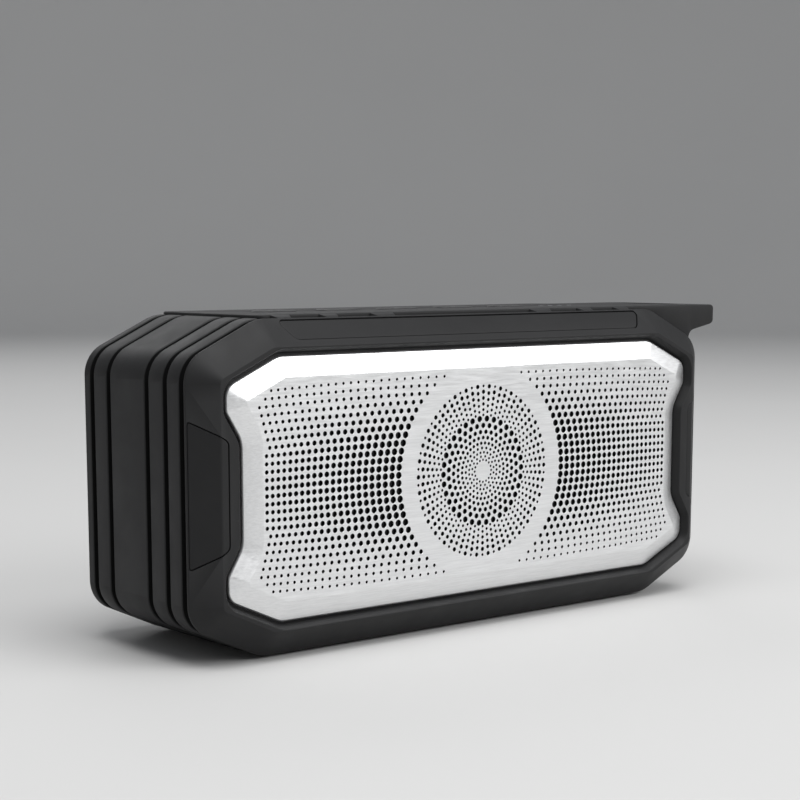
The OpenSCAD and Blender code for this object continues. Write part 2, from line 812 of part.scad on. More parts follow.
module battery_cradle() {
    low = foot_h + wall;
    color([0.18, 0.18, 0.19]) {
        difference() {
            bar(-35, 35, cell_y - 11.5, cell_y - 2, mid_z - 21, mid_z + 21);
            for (side = [-1, 1]) translate([0, cell_y, mid_z + side * cell_dz]) rotate([0, 90, 0]) {
                cylinder(r = cell_r + fit, h = cell_l + 0.2, center = true);
                cylinder(r = 3.4, h = cell_l + 1.8, center = true);
            }
        }
        for (x = [-35, 31.5]) bar(x, x + 3.5, cell_y - 11.5, cell_y - 6, low, mid_z - 20.5);
        for (x = [-35, 26]) bar(x, x + 9, cell_y - 11.5, cell_y + 2, low, low + 2);
    }
}

module main_board() {
    color(board_green) difference() {
        bar(-50, 50, board_y, board_y + board_t, mid_z - 30, mid_z + 30);
        for (x = [-1, 1], z = [-1, 1])
            facing(board_post_x * x, board_y + 3, board_post_z * z) cylinder(r = 1.4, h = 5);
    }
}

module board_parts() {
    y0 = board_y + board_t;
    color([0.1, 0.1, 0.12]) {
        bar(-12, 0, y0, y0 + 1.2, mid_z + 8, mid_z + 20);
        bar(12, 21, y0, y0 + 1.4, mid_z + 8, mid_z + 17);
        bar(-34, -27, y0, y0 + 1.6, mid_z + 8, mid_z + 15);
        for (i = [0:3]) facing(-8 + 11 * i, y0 + 6.5, 25.2) cylinder(r = 2.5, h = 6.5);
    }
}

module usb_socket() {
    color(steel) facing(usb_x, bay_floor_y - 0.3, port_z - mid_z) difference() {
        linear_extrude(bay_floor_y - 0.3 - board_y - board_t) stadium(8.94, 3.2);
        translate([0, 0, -1]) linear_extrude(5.5) stadium(8.3, 2.5);
    }
    color([0.1, 0.1, 0.1])
        bar(usb_x - 3.2, usb_x + 3.2, bay_floor_y - 5, bay_floor_y - 1, port_z - 0.35, port_z + 0.35);
}

module card_socket() {
    color(steel) difference() {
        bar(card_x - 6.2, card_x + 6.2, board_y + board_t, bay_floor_y - 0.2, port_z - 0.9, port_z + 0.9);
        bar(card_x - 5.6, card_x + 5.6, bay_floor_y - 5, bay_floor_y + 1, port_z - 0.45, port_z + 0.45);
    }
}

module audio_socket() {
    color([0.12, 0.12, 0.12]) difference() {
        union() {
            facing(aux_x, bay_floor_y, port_z - mid_z) cylinder(r = 3, h = bay_floor_y - board_y - board_t);
            bar(aux_x - 4, aux_x + 4, board_y + board_t, board_y + board_t + 3, port_z - 4, port_z + 4);
        }
        facing(aux_x, bay_floor_y + 1, port_z - mid_z) cylinder(r = 1.8, h = 5);
    }
}

// ---- Port door ---------------------------------------------------------------------------------

module on_door_axis(r, h) {
    translate([0, pin_y, door_pin_z]) rotate([0, 90, 0]) cylinder(r = r, h = h, center = true);
}

module port_door() {
    inner_y = back_y - door_t;
    plug_half = bay_half_w - 1;
    color(rubber_black) difference() {
        union() {
            bar(-door_w / 2, door_w / 2, inner_y, back_y, door_pin_z, door_pin_z + door_h);
            on_door_axis(barrel_r, door_w);
            bar(-plug_half, plug_half, inner_y - 2, inner_y + 0.5, bay_bottom + 0.6, bay_top - 1.2);
        }
        bar(1.4 - plug_half, plug_half - 1.4, inner_y - 3, inner_y, bay_bottom + 2, bay_top - 2.6);
        on_door_axis(pin_r + fit, door_w + 2);
        bar(-5, 5, back_y - 0.6, back_y + 1, door_pin_z + door_h - 3, door_pin_z + door_h + 1);
    }
}

module door_pin() {
    color(steel) on_door_axis(pin_r, door_w + 2.4);
}

module base_pad_shape() {
    linear_extrude(foot_h + 0.8) round_square(pad_l, pad_w, 4);
}

module base_pad() {
    color(rubber_black) base_pad_shape();
}

// ---- Screws and wiring ---------------------------------------------------------------------------

module pan_screw(r, l, head_r, head_h) {
    // head at z = 0, thread towards +Z
    difference() {
        translate([0, 0, -head_h]) cylinder(r = head_r, h = head_h);
        for (a = [0, 90])
            rotate(a) translate([-head_r * 0.55, -0.25, -head_h - 1]) cube([head_r * 1.1, 0.5, 1.6]);
    }
    cylinder(r = r, h = l);
}

module rear_screws() {
    color(steel) for (p = rear_screw_xz) facing(p[0], back_y - 1.6, p[1]) pan_screw(screw_r, 19, 2.9, 1.4);
}

module bezel_screws() {
    color(steel) for (p = bezel_screw_xz) facing(p[0], baffle_back, p[1]) pan_screw(1.05, 5.4, 2.2, 1.2);
}

module frame_screws() {
    color(steel) for (x = [-driver_x, 0, driver_x], i = [-1, 1], j = [-1, 1])
        facing_back(x + frame_hole * i, baffle_front - 1.5, frame_hole * j) pan_screw(0.95, 4, 1.8, 0.9);
}

module board_screws() {
    color(steel) {
        for (x = [-1, 1], z = [-1, 1])
            facing_back(board_post_x * x, board_y, board_post_z * z) pan_screw(1.05, 6, 2.2, 1.2);
        for (x = [-panel_post_x, panel_post_x])
            translate([x, 0, button_board_z]) pan_screw(1.05, 5, 2.2, 1.2);
    }
}

// Round wire along straight runs between the given points
module wire(points, r) {
    for (i = [0:len(points) - 2]) {
        d = points[i + 1] - points[i];
        translate(points[i]) rotate([0, acos(d[2] / norm(d)), atan2(d[1], d[0])])
            cylinder(r = r, h = norm(d), $fn = 16);
    }
    for (i = [1:len(points) - 2]) translate(points[i]) sphere(r = 1.05 * r, $fn = 16);
}

module speaker_leads() {
    color([0.75, 0.1, 0.08]) for (side = [-1, 1]) {
        low = mid_z - 14;
        back = board_y + board_t;
        wire([[side * 37.5, -13, mid_z - 8], [side * 42, -4, low], [side * 54, 12, low],
            [side * 54, back + 2.2, low], [side * 46, back + 2.2, low], [side * 46, back, low]], lead_r);
    }
}

module battery_leads() {
    color([0.8, 0.15, 0.1]) for (side = [-1, 1]) {
        z = mid_z + side * cell_dz;
        wire([[37, cell_y, z], [41, cell_y, z], [41, board_y, z]], lead_r);
    }
}

module button_ribbon() {
    color([0.85, 0.85, 0.8]) {
        bar(10, 22, 7, 16, button_board_z + 0.4, button_board_z + 0.7);
        bar(10, 22, 15.7, 16, mid_z + 26, button_board_z + 0.7);
        bar(10, 22, 15.7, board_y, mid_z + 26, mid_z + 26.3);
    }
}

front_bezel();
grille_panel();
grille_cloth();
baffle();
front_gasket();
main_housing();
rear_gasket();
rear_cover();
top_pad();
bottom_pad();
left_pad();
right_pad();
top_deck();
light_pipes();
power_button();
volume_down_button();
play_button();
volume_up_button();
pairing_button();
button_board();
tact_switches();
left_frame();
left_magnet();
left_surround();
left_spider();
left_cone();
left_dust_cap();
left_voice_coil();
right_frame();
right_magnet();
right_surround();
right_spider();
right_cone();
right_dust_cap();
right_voice_coil();
radiator_frame();
radiator_surround();
radiator_plate();
battery_cradle();
upper_cell();
lower_cell();
main_board();
board_parts();
usb_socket();
card_socket();
audio_socket();
port_door();
door_pin();
base_pad();
rear_screws();
bezel_screws();
frame_screws();
board_screws();
speaker_leads();
battery_leads();
button_ribbon();
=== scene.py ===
"""Looks of the portable bluetooth speaker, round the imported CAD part.

Points are in millimetres until to_mesh() and bent_mesh() turn them into metres.
"""

import json
import math

import bmesh
import bpy
from mathutils import Euler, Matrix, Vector
from mathutils.geometry import delaunay_2d_cdt


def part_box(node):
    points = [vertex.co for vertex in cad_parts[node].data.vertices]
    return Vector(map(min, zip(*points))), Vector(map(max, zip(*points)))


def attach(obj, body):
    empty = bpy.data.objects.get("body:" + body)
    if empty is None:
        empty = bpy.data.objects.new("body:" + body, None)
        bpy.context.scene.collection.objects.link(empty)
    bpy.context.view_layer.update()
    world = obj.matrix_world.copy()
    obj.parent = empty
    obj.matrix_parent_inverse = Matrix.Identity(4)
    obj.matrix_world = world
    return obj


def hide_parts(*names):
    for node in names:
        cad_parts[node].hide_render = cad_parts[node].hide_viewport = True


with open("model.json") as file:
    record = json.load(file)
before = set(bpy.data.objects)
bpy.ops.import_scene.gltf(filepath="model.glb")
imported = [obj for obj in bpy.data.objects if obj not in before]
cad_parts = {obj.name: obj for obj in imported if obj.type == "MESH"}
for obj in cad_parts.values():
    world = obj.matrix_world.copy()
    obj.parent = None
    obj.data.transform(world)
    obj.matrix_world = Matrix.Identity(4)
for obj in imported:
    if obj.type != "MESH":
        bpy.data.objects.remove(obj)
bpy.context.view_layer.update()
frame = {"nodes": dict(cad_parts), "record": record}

MM = 0.001
bezel_low, bezel_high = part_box("front_bezel")
cover_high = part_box("rear_cover")[1]
deck_low, deck_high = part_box("top_deck")
HALF_W = (bezel_high.x - bezel_low.x) / 2 / MM
HALF_H = (bezel_high.z - bezel_low.z) / 2 / MM
MID_Z = (bezel_high.z + bezel_low.z) / 2 / MM
TOP_Z = bezel_high.z / MM
FRONT_Y = bezel_low.y / MM
BACK_Y = cover_high.y / MM
DECK_TOP = deck_high.z / MM
LUG_END = deck_high.x / MM


# ---- Outlines ------------------------------------------------------------------------------------


def arc_corner(a, p, b, r, n):
    """n + 1 points that round the corner p, between its neighbours a and b, with radius r."""
    a, p, b = Vector(a), Vector(p), Vector(b)
    u = (a - p).normalized()
    v = (b - p).normalized()
    half = u.angle(v) / 2
    if r < 1e-6 or half > math.pi / 2 - 1e-3:
        return [tuple(p)] * (n + 1)
    centre = p + (u + v).normalized() * (r / math.sin(half))
    start = p + u * (r / math.tan(half)) - centre
    turn = (math.pi - 2 * half) * math.copysign(1, (p - a).cross(b - p))
    first = math.atan2(start.y, start.x)
    angles = [first + turn * i / n for i in range(n + 1)]
    return [(centre.x + r * math.cos(w), centre.y + r * math.sin(w)) for w in angles]


def rounded(corners, n):
    """Closed outline from corners (x, z, radius)."""
    out = []
    for i, c in enumerate(corners):
        before = corners[i - 1]
        after = corners[(i + 1) % len(corners)]
        out += arc_corner(before[:2], c[:2], after[:2], c[2], n)
    return out


def softened(path, n=3):
    """Open profile from points (t, depth) or (t, depth, radius)."""
    out = [path[0][:2]]
    for before, p, after in zip(path, path[1:], path[2:]):
        if len(p) > 2:
            out += arc_corner(before[:2], p[:2], after[:2], p[2], n)
        else:
            out.append(p)
    return out + [path[-1][:2]]


def out_normal(a, b):
    d = (Vector(b) - Vector(a)).normalized()
    return Vector((d.y, -d.x))


def inset(corners, t):
    """The counter-clockwise outline moved inwards by t."""
    out = []
    for i, c in enumerate(corners):
        p = Vector(c[:2])
        a = Vector(corners[i - 1][:2])
        b = Vector(corners[(i + 1) % len(corners)][:2])
        m = out_normal(a, p)
        k = out_normal(p, b)
        q = p - (m + k) * (t / (1 + m.dot(k)))
        convex = (p - a).cross(b - p) > 0
        r = max(c[2] - t, 0.4) if convex else c[2] + t
        out.append((q.x, q.y, r))
    return out


def four_way(quarter):
    """Full outline from the corners of its upper right quarter."""
    back = quarter[::-1]
    return (
        list(quarter)
        + [(-x, z, r) for x, z, r in back]
        + [(-x, -z, r) for x, z, r in quarter]
        + [(x, -z, r) for x, z, r in back]
    )


def rectangle(x0, x1, y0, y1, r):
    return [(x1, y0, r), (x1, y1, r), (x0, y1, r), (x0, y0, r)]


def stadium(x, y, length, width):
    r = width / 2 - 0.001
    return rectangle(x - length / 2, x + length / 2, y - width / 2, y + width / 2, r)


def circle(x, y, r, n):
    return [(x + r * math.cos(2 * math.pi * i / n), y + r * math.sin(2 * math.pi * i / n)) for i in range(n)]


# Outlines seen from the front, about the middle of the front face
FLAT_HALF = 80.8
CHAMFER_ANGLE = 25
END_ROUND = 10
FLAT_ROUND = 14
CHAMFER_RISE = (HALF_W - FLAT_HALF) * math.tan(math.radians(CHAMFER_ANGLE))
BODY = four_way([(HALF_W, HALF_H - CHAMFER_RISE, END_ROUND), (FLAT_HALF, HALF_H, FLAT_ROUND)])
WAIST_HALF = 89.3
GRILLE_HALF = 94.4
GRILLE = four_way([(WAIST_HALF, 15, 8), (GRILLE_HALF, 23.2, 3), (GRILLE_HALF, 30.1, 4.5), (76.5, 38.2, 8)])


# ---- Solids as rings of points -------------------------------------------------------------------


def inside(p, loop):
    hit = False
    for (ax, ay), (bx, by) in zip(loop, loop[1:] + loop[:1]):
        if (ay > p[1]) != (by > p[1]) and p[0] < ax + (p[1] - ay) * (bx - ax) / (by - ay):
            hit = not hit
    return hit


class Shell:
    """Points in millimetres and the faces between them."""

    def __init__(self):
        self.points = []
        self.faces = []

    def ring(self, points):
        first = len(self.points)
        self.points += [tuple(p) for p in points]
        return list(range(first, len(self.points)))

    def bridge(self, a, b):
        for i in range(len(a)):
            j = (i + 1) % len(a)
            self.faces.append((a[i], a[j], b[j], b[i]))

    def chain(self, rings, closed=False):
        for a, b in zip(rings, rings[1:]):
            self.bridge(a, b)
        if closed:
            self.bridge(rings[-1], rings[0])

    def fill(self, loops, axes=(0, 2)):
        """Flat face inside the first loop and outside the others."""
        u, v = axes
        index = [i for loop in loops for i in loop]
        flat = [Vector((self.points[i][u], self.points[i][v])) for i in index]
        shapes = [[(self.points[i][u], self.points[i][v]) for i in loop] for loop in loops]
        owner = [k for k, loop in enumerate(loops) for _ in loop]
        edges = []
        for loop in loops:
            first = len(edges)
            edges += [(first + i, first + (i + 1) % len(loop)) for i in range(len(loop))]
        out, _, tris, origin, _, _ = delaunay_2d_cdt(flat, edges, [], 0, 1e-6)
        for tri in tris:
            if not all(origin[i] for i in tri):
                print("fill: crossing loops near", [tuple(round(c, 2) for c in out[i]) for i in tri][:2])
                continue
            real = [origin[i][0] for i in tri]
            owners = {owner[i] for i in real}
            if len(owners) == 1:
                k = owners.pop()
                mid = (sum(flat[i].x for i in real) / 3, sum(flat[i].y for i in real) / 3)
                if inside(mid, shapes[k]) != (k == 0):
                    continue
            self.faces.append(tuple(index[i] for i in real))

    def to_mesh(self, name, shift=None, sharp=32):
        bm = bmesh.new()
        made = [bm.verts.new(Vector(p)) for p in self.points]
        for f in self.faces:
            corners = [made[i] for i in f]
            if len(set(corners)) > 2:
                try:
                    bm.faces.new(corners)
                except ValueError:
                    continue
        bmesh.ops.remove_doubles(bm, verts=bm.verts, dist=0.0005)
        bmesh.ops.dissolve_degenerate(bm, edges=bm.edges, dist=0.0002)
        if shift:
            for v in bm.verts:
                v.co = shift(v.co)
        loose = [v for v in bm.verts if not v.link_faces]
        bmesh.ops.delete(bm, geom=loose, context="VERTS")
        bmesh.ops.recalc_face_normals(bm, faces=bm.faces)
        for v in bm.verts:
            v.co *= MM
        for f in bm.faces:
            f.smooth = True
        mesh = bpy.data.meshes.new(name)
        bm.to_mesh(mesh)
        bm.free()
        mesh.set_sharp_from_angle(angle=math.radians(sharp))
        return mesh


def bare(name, data):
    obj = bpy.data.objects.new(name, data)
    bpy.context.scene.collection.objects.link(obj)
    return obj


def to_object(name, mesh, body, nodes, slot):
    """A piece that rides on a body, stands for CAD nodes, and has the material of its slot."""
    obj = bare(name, mesh)
    obj.data.materials.append(M[slot])
    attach(obj, body)
    if nodes:
        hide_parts(*nodes)
    return obj


def round_ring(shell, corners, t, depth, n):
    """The outline moved in by t, at a depth behind the front ridge plane."""
    pts = rounded(inset(corners, t), n)
    return shell.ring([(x, FRONT_Y + depth, MID_Z + z) for x, z in pts])


def swept(shell, corners, profile, n):
    return [round_ring(shell, corners, t, d, n) for t, d in profile]


def front_circle(shell, x, z, r, depth, n=32):
    return shell.ring([(px, FRONT_Y + depth, MID_Z + pz) for px, pz in circle(x, z, r, n)])


def level_rings(shell, corners, steps, n):
    """Rings (x, y, height) of a plan outline, moved in by t at each step (t, height)."""
    return [shell.ring([(x, y, s) for x, y in rounded(inset(corners, t), n)]) for t, s in steps]


def round_edge(edge, top, n):
    """Steps (t, height) of a quarter circle of radius edge that ends at the top."""
    angles = [math.pi / 2 * i / n for i in range(n + 1)]
    return [(edge * (1 - math.cos(a)), top - edge + edge * math.sin(a)) for a in angles]


# ---- Materials -----------------------------------------------------------------------------------


def new_material(name):
    mat = bpy.data.materials.new(name)
    mat.use_nodes = True
    nodes = mat.node_tree.nodes
    nodes.clear()
    out = nodes.new("ShaderNodeOutputMaterial")
    shader = nodes.new("ShaderNodeBsdfPrincipled")
    mat.node_tree.links.new(shader.outputs["BSDF"], out.inputs["Surface"])
    return mat, nodes, mat.node_tree.links, shader


def place(nodes, links, scale=(1, 1, 1)):
    where = nodes.new("ShaderNodeTexCoord")
    mapping = nodes.new("ShaderNodeMapping")
    mapping.inputs["Scale"].default_value = scale
    links.new(where.outputs["Object"], mapping.inputs["Vector"])
    return mapping.outputs["Vector"]


def noise(nodes, links, vector, scale, detail=3.0, rough=0.6):
    n = nodes.new("ShaderNodeTexNoise")
    n.inputs["Scale"].default_value = scale
    n.inputs["Detail"].default_value = detail
    n.inputs["Roughness"].default_value = rough
    links.new(vector, n.inputs["Vector"])
    return n.outputs["Fac"]


def ranged(nodes, links, value, low, high, start=0.3, end=0.7):
    m = nodes.new("ShaderNodeMapRange")
    m.inputs["From Min"].default_value = start
    m.inputs["From Max"].default_value = end
    m.inputs["To Min"].default_value = low
    m.inputs["To Max"].default_value = high
    links.new(value, m.inputs["Value"])
    return m.outputs["Result"]


def mixed(nodes, links, factor, a, b):
    m = nodes.new("ShaderNodeMix")
    m.data_type = "RGBA"
    links.new(factor, m.inputs["Factor"])
    for socket, value in (("A", a), ("B", b)):
        target = [i for i in m.inputs if i.name == socket and i.type == "RGBA"][0]
        if isinstance(value, tuple):
            target.default_value = (*value, 1)
        else:
            links.new(value, target)
    return [o for o in m.outputs if o.type == "RGBA"][0]


def bumped(nodes, links, shader, height, strength, distance):
    b = nodes.new("ShaderNodeBump")
    b.inputs["Strength"].default_value = strength
    b.inputs["Distance"].default_value = distance
    links.new(height, b.inputs["Height"])
    links.new(b.outputs["Normal"], shader.inputs["Normal"])


def moulded(name, colour, rough=0.5, grain=2600, bump=0.25, edge_wear_and_highlight=0.35, level=0.4, sheen=0.0):
    """Moulded plastic or rubber: fine grain, faint handling marks, and convex edges a little lighter, partly
    as wear and partly as painted highlight.
    """
    mat, nodes, links, shader = new_material(name)
    vector = place(nodes, links)
    fine = noise(nodes, links, vector, grain, 2.0, 0.5)
    broad = noise(nodes, links, vector, 28, 4.0, 0.62)
    dark = tuple(c * 0.86 for c in colour)
    light = tuple(c * 1.14 for c in colour)
    base = mixed(nodes, links, ranged(nodes, links, broad, 0, 1), dark, light)
    geometry = nodes.new("ShaderNodeNewGeometry")
    # Convex edges lighter: partly wear, partly painted highlight where the edges catch the light
    edge = ranged(nodes, links, geometry.outputs["Pointiness"], 0, edge_wear_and_highlight, 0.51, 0.58)
    worn_and_lit_edge = tuple(min(1, c * 2.2 + 0.012) for c in colour)
    base = mixed(nodes, links, edge, base, worn_and_lit_edge)
    links.new(base, shader.inputs["Base Color"])
    mid = noise(nodes, links, vector, 90, 3.0, 0.6)
    links.new(ranged(nodes, links, mid, rough - 0.05, rough + 0.06), shader.inputs["Roughness"])
    shader.inputs["Specular IOR Level"].default_value = level
    shader.inputs["Sheen Weight"].default_value = sheen
    shader.inputs["Sheen Roughness"].default_value = 0.5
    bumped(nodes, links, shader, fine, bump, 0.00006)
    return mat


def brushed(name, colour, low, high, stretch=(1.2, 60, 60), grain=60, shade=0.93, bump=0.12):
    """Brushed metal: long fine streaks in the colour, the roughness and the height."""
    mat, nodes, links, shader = new_material(name)
    streaky = place(nodes, links, stretch)
    streak = noise(nodes, links, streaky, grain, 6.0, 0.75)
    plain = place(nodes, links)
    cloud = noise(nodes, links, plain, 14, 3.0, 0.55)
    streaks = ranged(nodes, links, streak, 0, 1, 0.36, 0.64)
    base = mixed(nodes, links, streaks, tuple(c * shade for c in colour), colour)
    links.new(base, shader.inputs["Base Color"])
    links.new(ranged(nodes, links, streak, low, high, 0.36, 0.64), shader.inputs["Roughness"])
    shader.inputs["Metallic"].default_value = 1.0
    add = nodes.new("ShaderNodeMath")
    add.operation = "ADD"
    links.new(streak, add.inputs[0])
    links.new(cloud, add.inputs[1])
    bumped(nodes, links, shader, add.outputs[0], bump, 0.00004)
    return mat


def woven(name, colour, pitch=0.6, rough=0.85, light=2.4, bump=0.6):
    """Plain weave of two crossing sets of threads, pitch in millimetres."""
    mat, nodes, links, shader = new_material(name)
    vector = place(nodes, links)
    waves = []
    for axis in ("X", "Z"):
        w = nodes.new("ShaderNodeTexWave")
        w.bands_direction = axis
        w.wave_profile = "SIN"
        w.inputs["Scale"].default_value = 1 / (pitch * MM) / 20 * math.pi
        w.inputs["Distortion"].default_value = 0.4
        w.inputs["Detail"].default_value = 1.0
        links.new(vector, w.inputs["Vector"])
        waves.append(w.outputs["Fac"])
    top = nodes.new("ShaderNodeMath")
    top.operation = "MAXIMUM"
    links.new(waves[0], top.inputs[0])
    links.new(waves[1], top.inputs[1])
    dark = tuple(c * 0.35 for c in colour)
    bright = tuple(min(1, c * light) for c in colour)
    links.new(mixed(nodes, links, ranged(nodes, links, top.outputs[0], 0, 1, 0.4, 1), dark, bright),
              shader.inputs["Base Color"])
    fuzz = noise(nodes, links, vector, 300, 2.0)
    links.new(ranged(nodes, links, fuzz, rough - 0.06, rough + 0.06), shader.inputs["Roughness"])
    bumped(nodes, links, shader, top.outputs[0], bump, 0.0001)
    return mat


def glossy(name, colour, rough=0.25, coat=0.3, transmission=0.0):
    """Smooth plastic, lacquer or wire insulation with slight mottling."""
    mat, nodes, links, shader = new_material(name)
    vector = place(nodes, links)
    broad = noise(nodes, links, vector, 45, 4.0, 0.6)
    base = mixed(nodes, links, ranged(nodes, links, broad, 0, 1), tuple(c * 0.85 for c in colour), colour)
    links.new(base, shader.inputs["Base Color"])
    fine = noise(nodes, links, vector, 700, 2.0)
    links.new(ranged(nodes, links, fine, rough - 0.04, rough + 0.06), shader.inputs["Roughness"])
    shader.inputs["Coat Weight"].default_value = coat
    shader.inputs["Coat Roughness"].default_value = 0.12
    shader.inputs["Transmission Weight"].default_value = transmission
    bumped(nodes, links, shader, fine, 0.08, 0.00003)
    return mat


def board(name, colour):
    """Solder mask over copper tracks."""
    mat, nodes, links, shader = new_material(name)
    vector = place(nodes, links)
    cells = nodes.new("ShaderNodeTexBrick")
    cells.inputs["Scale"].default_value = 260
    cells.inputs["Mortar Size"].default_value = 0.06
    cells.inputs["Color1"].default_value = (1, 1, 1, 1)
    cells.inputs["Color2"].default_value = (0.6, 0.6, 0.6, 1)
    cells.inputs["Mortar"].default_value = (0, 0, 0, 1)
    links.new(vector, cells.inputs["Vector"])
    tracks = cells.outputs["Fac"]
    base = mixed(nodes, links, tracks, colour, tuple(min(1, c * 2.2) for c in colour))
    links.new(base, shader.inputs["Base Color"])
    fine = noise(nodes, links, vector, 200, 3.0)
    links.new(ranged(nodes, links, fine, 0.22, 0.4), shader.inputs["Roughness"])
    shader.inputs["Coat Weight"].default_value = 0.4
    bumped(nodes, links, shader, tracks, 0.2, 0.00003)
    return mat


M = {
    "shell_black": moulded("shell_black", (0.0155, 0.0155, 0.016), 0.52, 2400, 0.24, 0.4, 0.24),
    # Painted shade for the insides of the grooves
    "groove_painted_shade": moulded("groove_painted_shade", (0.0045, 0.0045, 0.0045), 0.7, 2000, 0.2, 0, 0.15),
    "pad_black": moulded("pad_black", (0.0145, 0.0145, 0.015), 0.54, 2800, 0.24, 0.25, 0.24),
    "deck_black": moulded("deck_black", (0.0085, 0.0085, 0.009), 0.6, 2000, 0.25, 0.2, 0.25, 0.05),
    "button_black": moulded("button_black", (0.012, 0.012, 0.0125), 0.5, 2000, 0.25, 0.3, 0.4, 0.1),
    "sign_grey": moulded("sign_grey", (0.2, 0.2, 0.205), 0.5, 2000, 0.15, 0.1, 0.3),
    "rubber_black": moulded("rubber_black", (0.009, 0.009, 0.009), 0.68, 1500, 0.3, 0.15, 0.3, 0.15),
    "inner_plastic": moulded("inner_plastic", (0.04, 0.04, 0.042), 0.5, 1200, 0.3, 0.2),
    "chip_black": moulded("chip_black", (0.03, 0.03, 0.035), 0.42, 2500, 0.3, 0.3),
    "frame_metal": moulded("frame_metal", (0.05, 0.05, 0.055), 0.4, 900, 0.35, 0.5, 0.6),
    # Painted shade for the walls of the grille's holes and the back of the sheet
    "hole_painted_shade": moulded("hole_painted_shade", (0.004, 0.004, 0.004), 0.7, 1500, 0.2, 0, 0.1),
    "brushed_aluminium": brushed("brushed_aluminium", (0.86, 0.865, 0.87), 0.30, 0.46, (2.5, 55, 55), 45,
                                 0.87, 0.2),
    "steel": brushed("steel", (0.60, 0.61, 0.63), 0.24, 0.38, (30, 30, 3), 40),
    "copper": brushed("copper", (0.72, 0.38, 0.18), 0.25, 0.4, (3, 220, 3), 60),
    "acoustic_cloth": woven("acoustic_cloth", (0.012, 0.012, 0.013), 0.55),
    "cone_paper": woven("cone_paper", (0.035, 0.035, 0.037), 1.1, 0.75, 1.4, 0.25),
    "dust_cap": woven("dust_cap", (0.05, 0.05, 0.052), 0.45, 0.7, 1.6, 0.4),
    "spider_cloth": woven("spider_cloth", (0.45, 0.32, 0.14), 0.5, 0.8, 1.4, 0.5),
    "cell_wrap": glossy("cell_wrap", (0.05, 0.18, 0.42), 0.25, 0.4),
    "board_green": board("board_green", (0.012, 0.10, 0.045)),
    "clear_plastic": glossy("clear_plastic", (0.62, 0.66, 0.70), 0.3, 0.2, 0.25),
    "lead_red": glossy("lead_red", (0.42, 0.03, 0.02), 0.35, 0.1),
    "ribbon_white": glossy("ribbon_white", (0.7, 0.7, 0.66), 0.4, 0.1),
}
SLOTS = {s["node"]: s["material_slot"] for s in frame["record"]["subparts"]}
for node_name, obj in frame["nodes"].items():
    obj.data.materials.clear()
    obj.data.materials.append(M[SLOTS[node_name]])
    obj.data.set_sharp_from_angle(angle=math.radians(30))

# ---- Front bezel ---------------------------------------------------------------------------------

SLOPE = 7.7
BEZEL_D = 7.0
LIP = 0.8
GRILLE_GAP = 0.7
EDGE = inset(GRILLE, -GRILLE_GAP)
SHELF_D = 3.15
# Half length of the soft bend over the front ridge at the ends
BEND = 0.5


def boolean(obj, cutter):
    """Applies a cut, and deletes the cutter."""
    m = obj.modifiers.new("cut", "BOOLEAN")
    m.operation = "DIFFERENCE"
    m.solver = "EXACT"
    m.object = cutter
    bpy.context.view_layer.update()
    graph = bpy.context.evaluated_depsgraph_get()
    mesh = bpy.data.meshes.new_from_object(obj.evaluated_get(graph))
    obj.modifiers.clear()
    old = obj.data
    mesh.name = old.name + "_cut"
    obj.data = mesh
    bpy.data.meshes.remove(old)
    bpy.data.objects.remove(cutter)


# Slope of the bezel: h is the height up the slope in z, s the height above its surface
SLOPE_DEPTH = BEZEL_D - LIP
slope_out = Vector((-SLOPE, SLOPE_DEPTH)).normalized()


def on_long_slope(p):
    """(x, h, s) on the top slope to x, y, z."""
    depth = p.y * SLOPE_DEPTH / SLOPE + slope_out.x * p.z
    height = HALF_H - SLOPE + p.y + slope_out.y * p.z
    return Vector((p.x, FRONT_Y + depth, MID_Z + height))


def on_end(p):
    """(u, z, s) round the right end's front face and slope to x, y, z.

    u is 0 on the ridge and grows outwards.
    """
    u = p.x
    t = min(1, max(0, (u + BEND) / (2 * BEND)))
    blend = t * t * (3 - 2 * t)
    normal = Vector((0, -1)).lerp(Vector((slope_out.y, slope_out.x)), blend).normalized()
    along = max(u, 0)
    if abs(u) < BEND:
        along = (u + BEND) ** 2 / (4 * BEND)
    flat_x = HALF_W - SLOPE + (u - along)
    x = flat_x + along + normal.x * p.z
    depth = along * SLOPE_DEPTH / SLOPE + normal.y * p.z
    return Vector((x, FRONT_Y + depth, MID_Z + p.y))


def mirrored(fn, x=1, z=1):
    def moved(p):
        q = fn(p)
        return Vector((x * q.x, q.y, MID_Z + z * (q.z - MID_Z)))

    return moved


def plate(corners, low, high, edge):
    """Flat plate with a rounded top edge, as a shell whose points are (u, v, s)."""
    shell = Shell()
    rings = level_rings(shell, corners, [(0, low)] + round_edge(edge, high, 4), 6)
    shell.chain(rings)
    shell.fill([rings[0]], (0, 1))
    shell.fill([rings[-1]], (0, 1))
    return shell


def bent_mesh(shell, name, stations, shift):
    """Cuts a flat shell across x at the stations, so that it can bend there, and moves it into place."""
    bm = bmesh.new()
    made = [bm.verts.new(Vector(p)) for p in shell.points]
    for f in shell.faces:
        bm.faces.new([made[i] for i in f])
    normal = Vector((1, 0, 0))
    for s in stations:
        where = normal * s
        geometry = list(bm.verts) + list(bm.edges) + list(bm.faces)
        bmesh.ops.bisect_plane(bm, geom=geometry, plane_co=where, plane_no=normal, dist=1e-5)
    bmesh.ops.remove_doubles(bm, verts=bm.verts, dist=0.0005)
    for v in bm.verts:
        v.co = shift(v.co) * MM
    bmesh.ops.recalc_face_normals(bm, faces=bm.faces)
    for f in bm.faces:
        f.smooth = True
    mesh = bpy.data.meshes.new(name)
    bm.to_mesh(mesh)
    bm.free()
    mesh.set_sharp_from_angle(angle=math.radians(32))
    return mesh


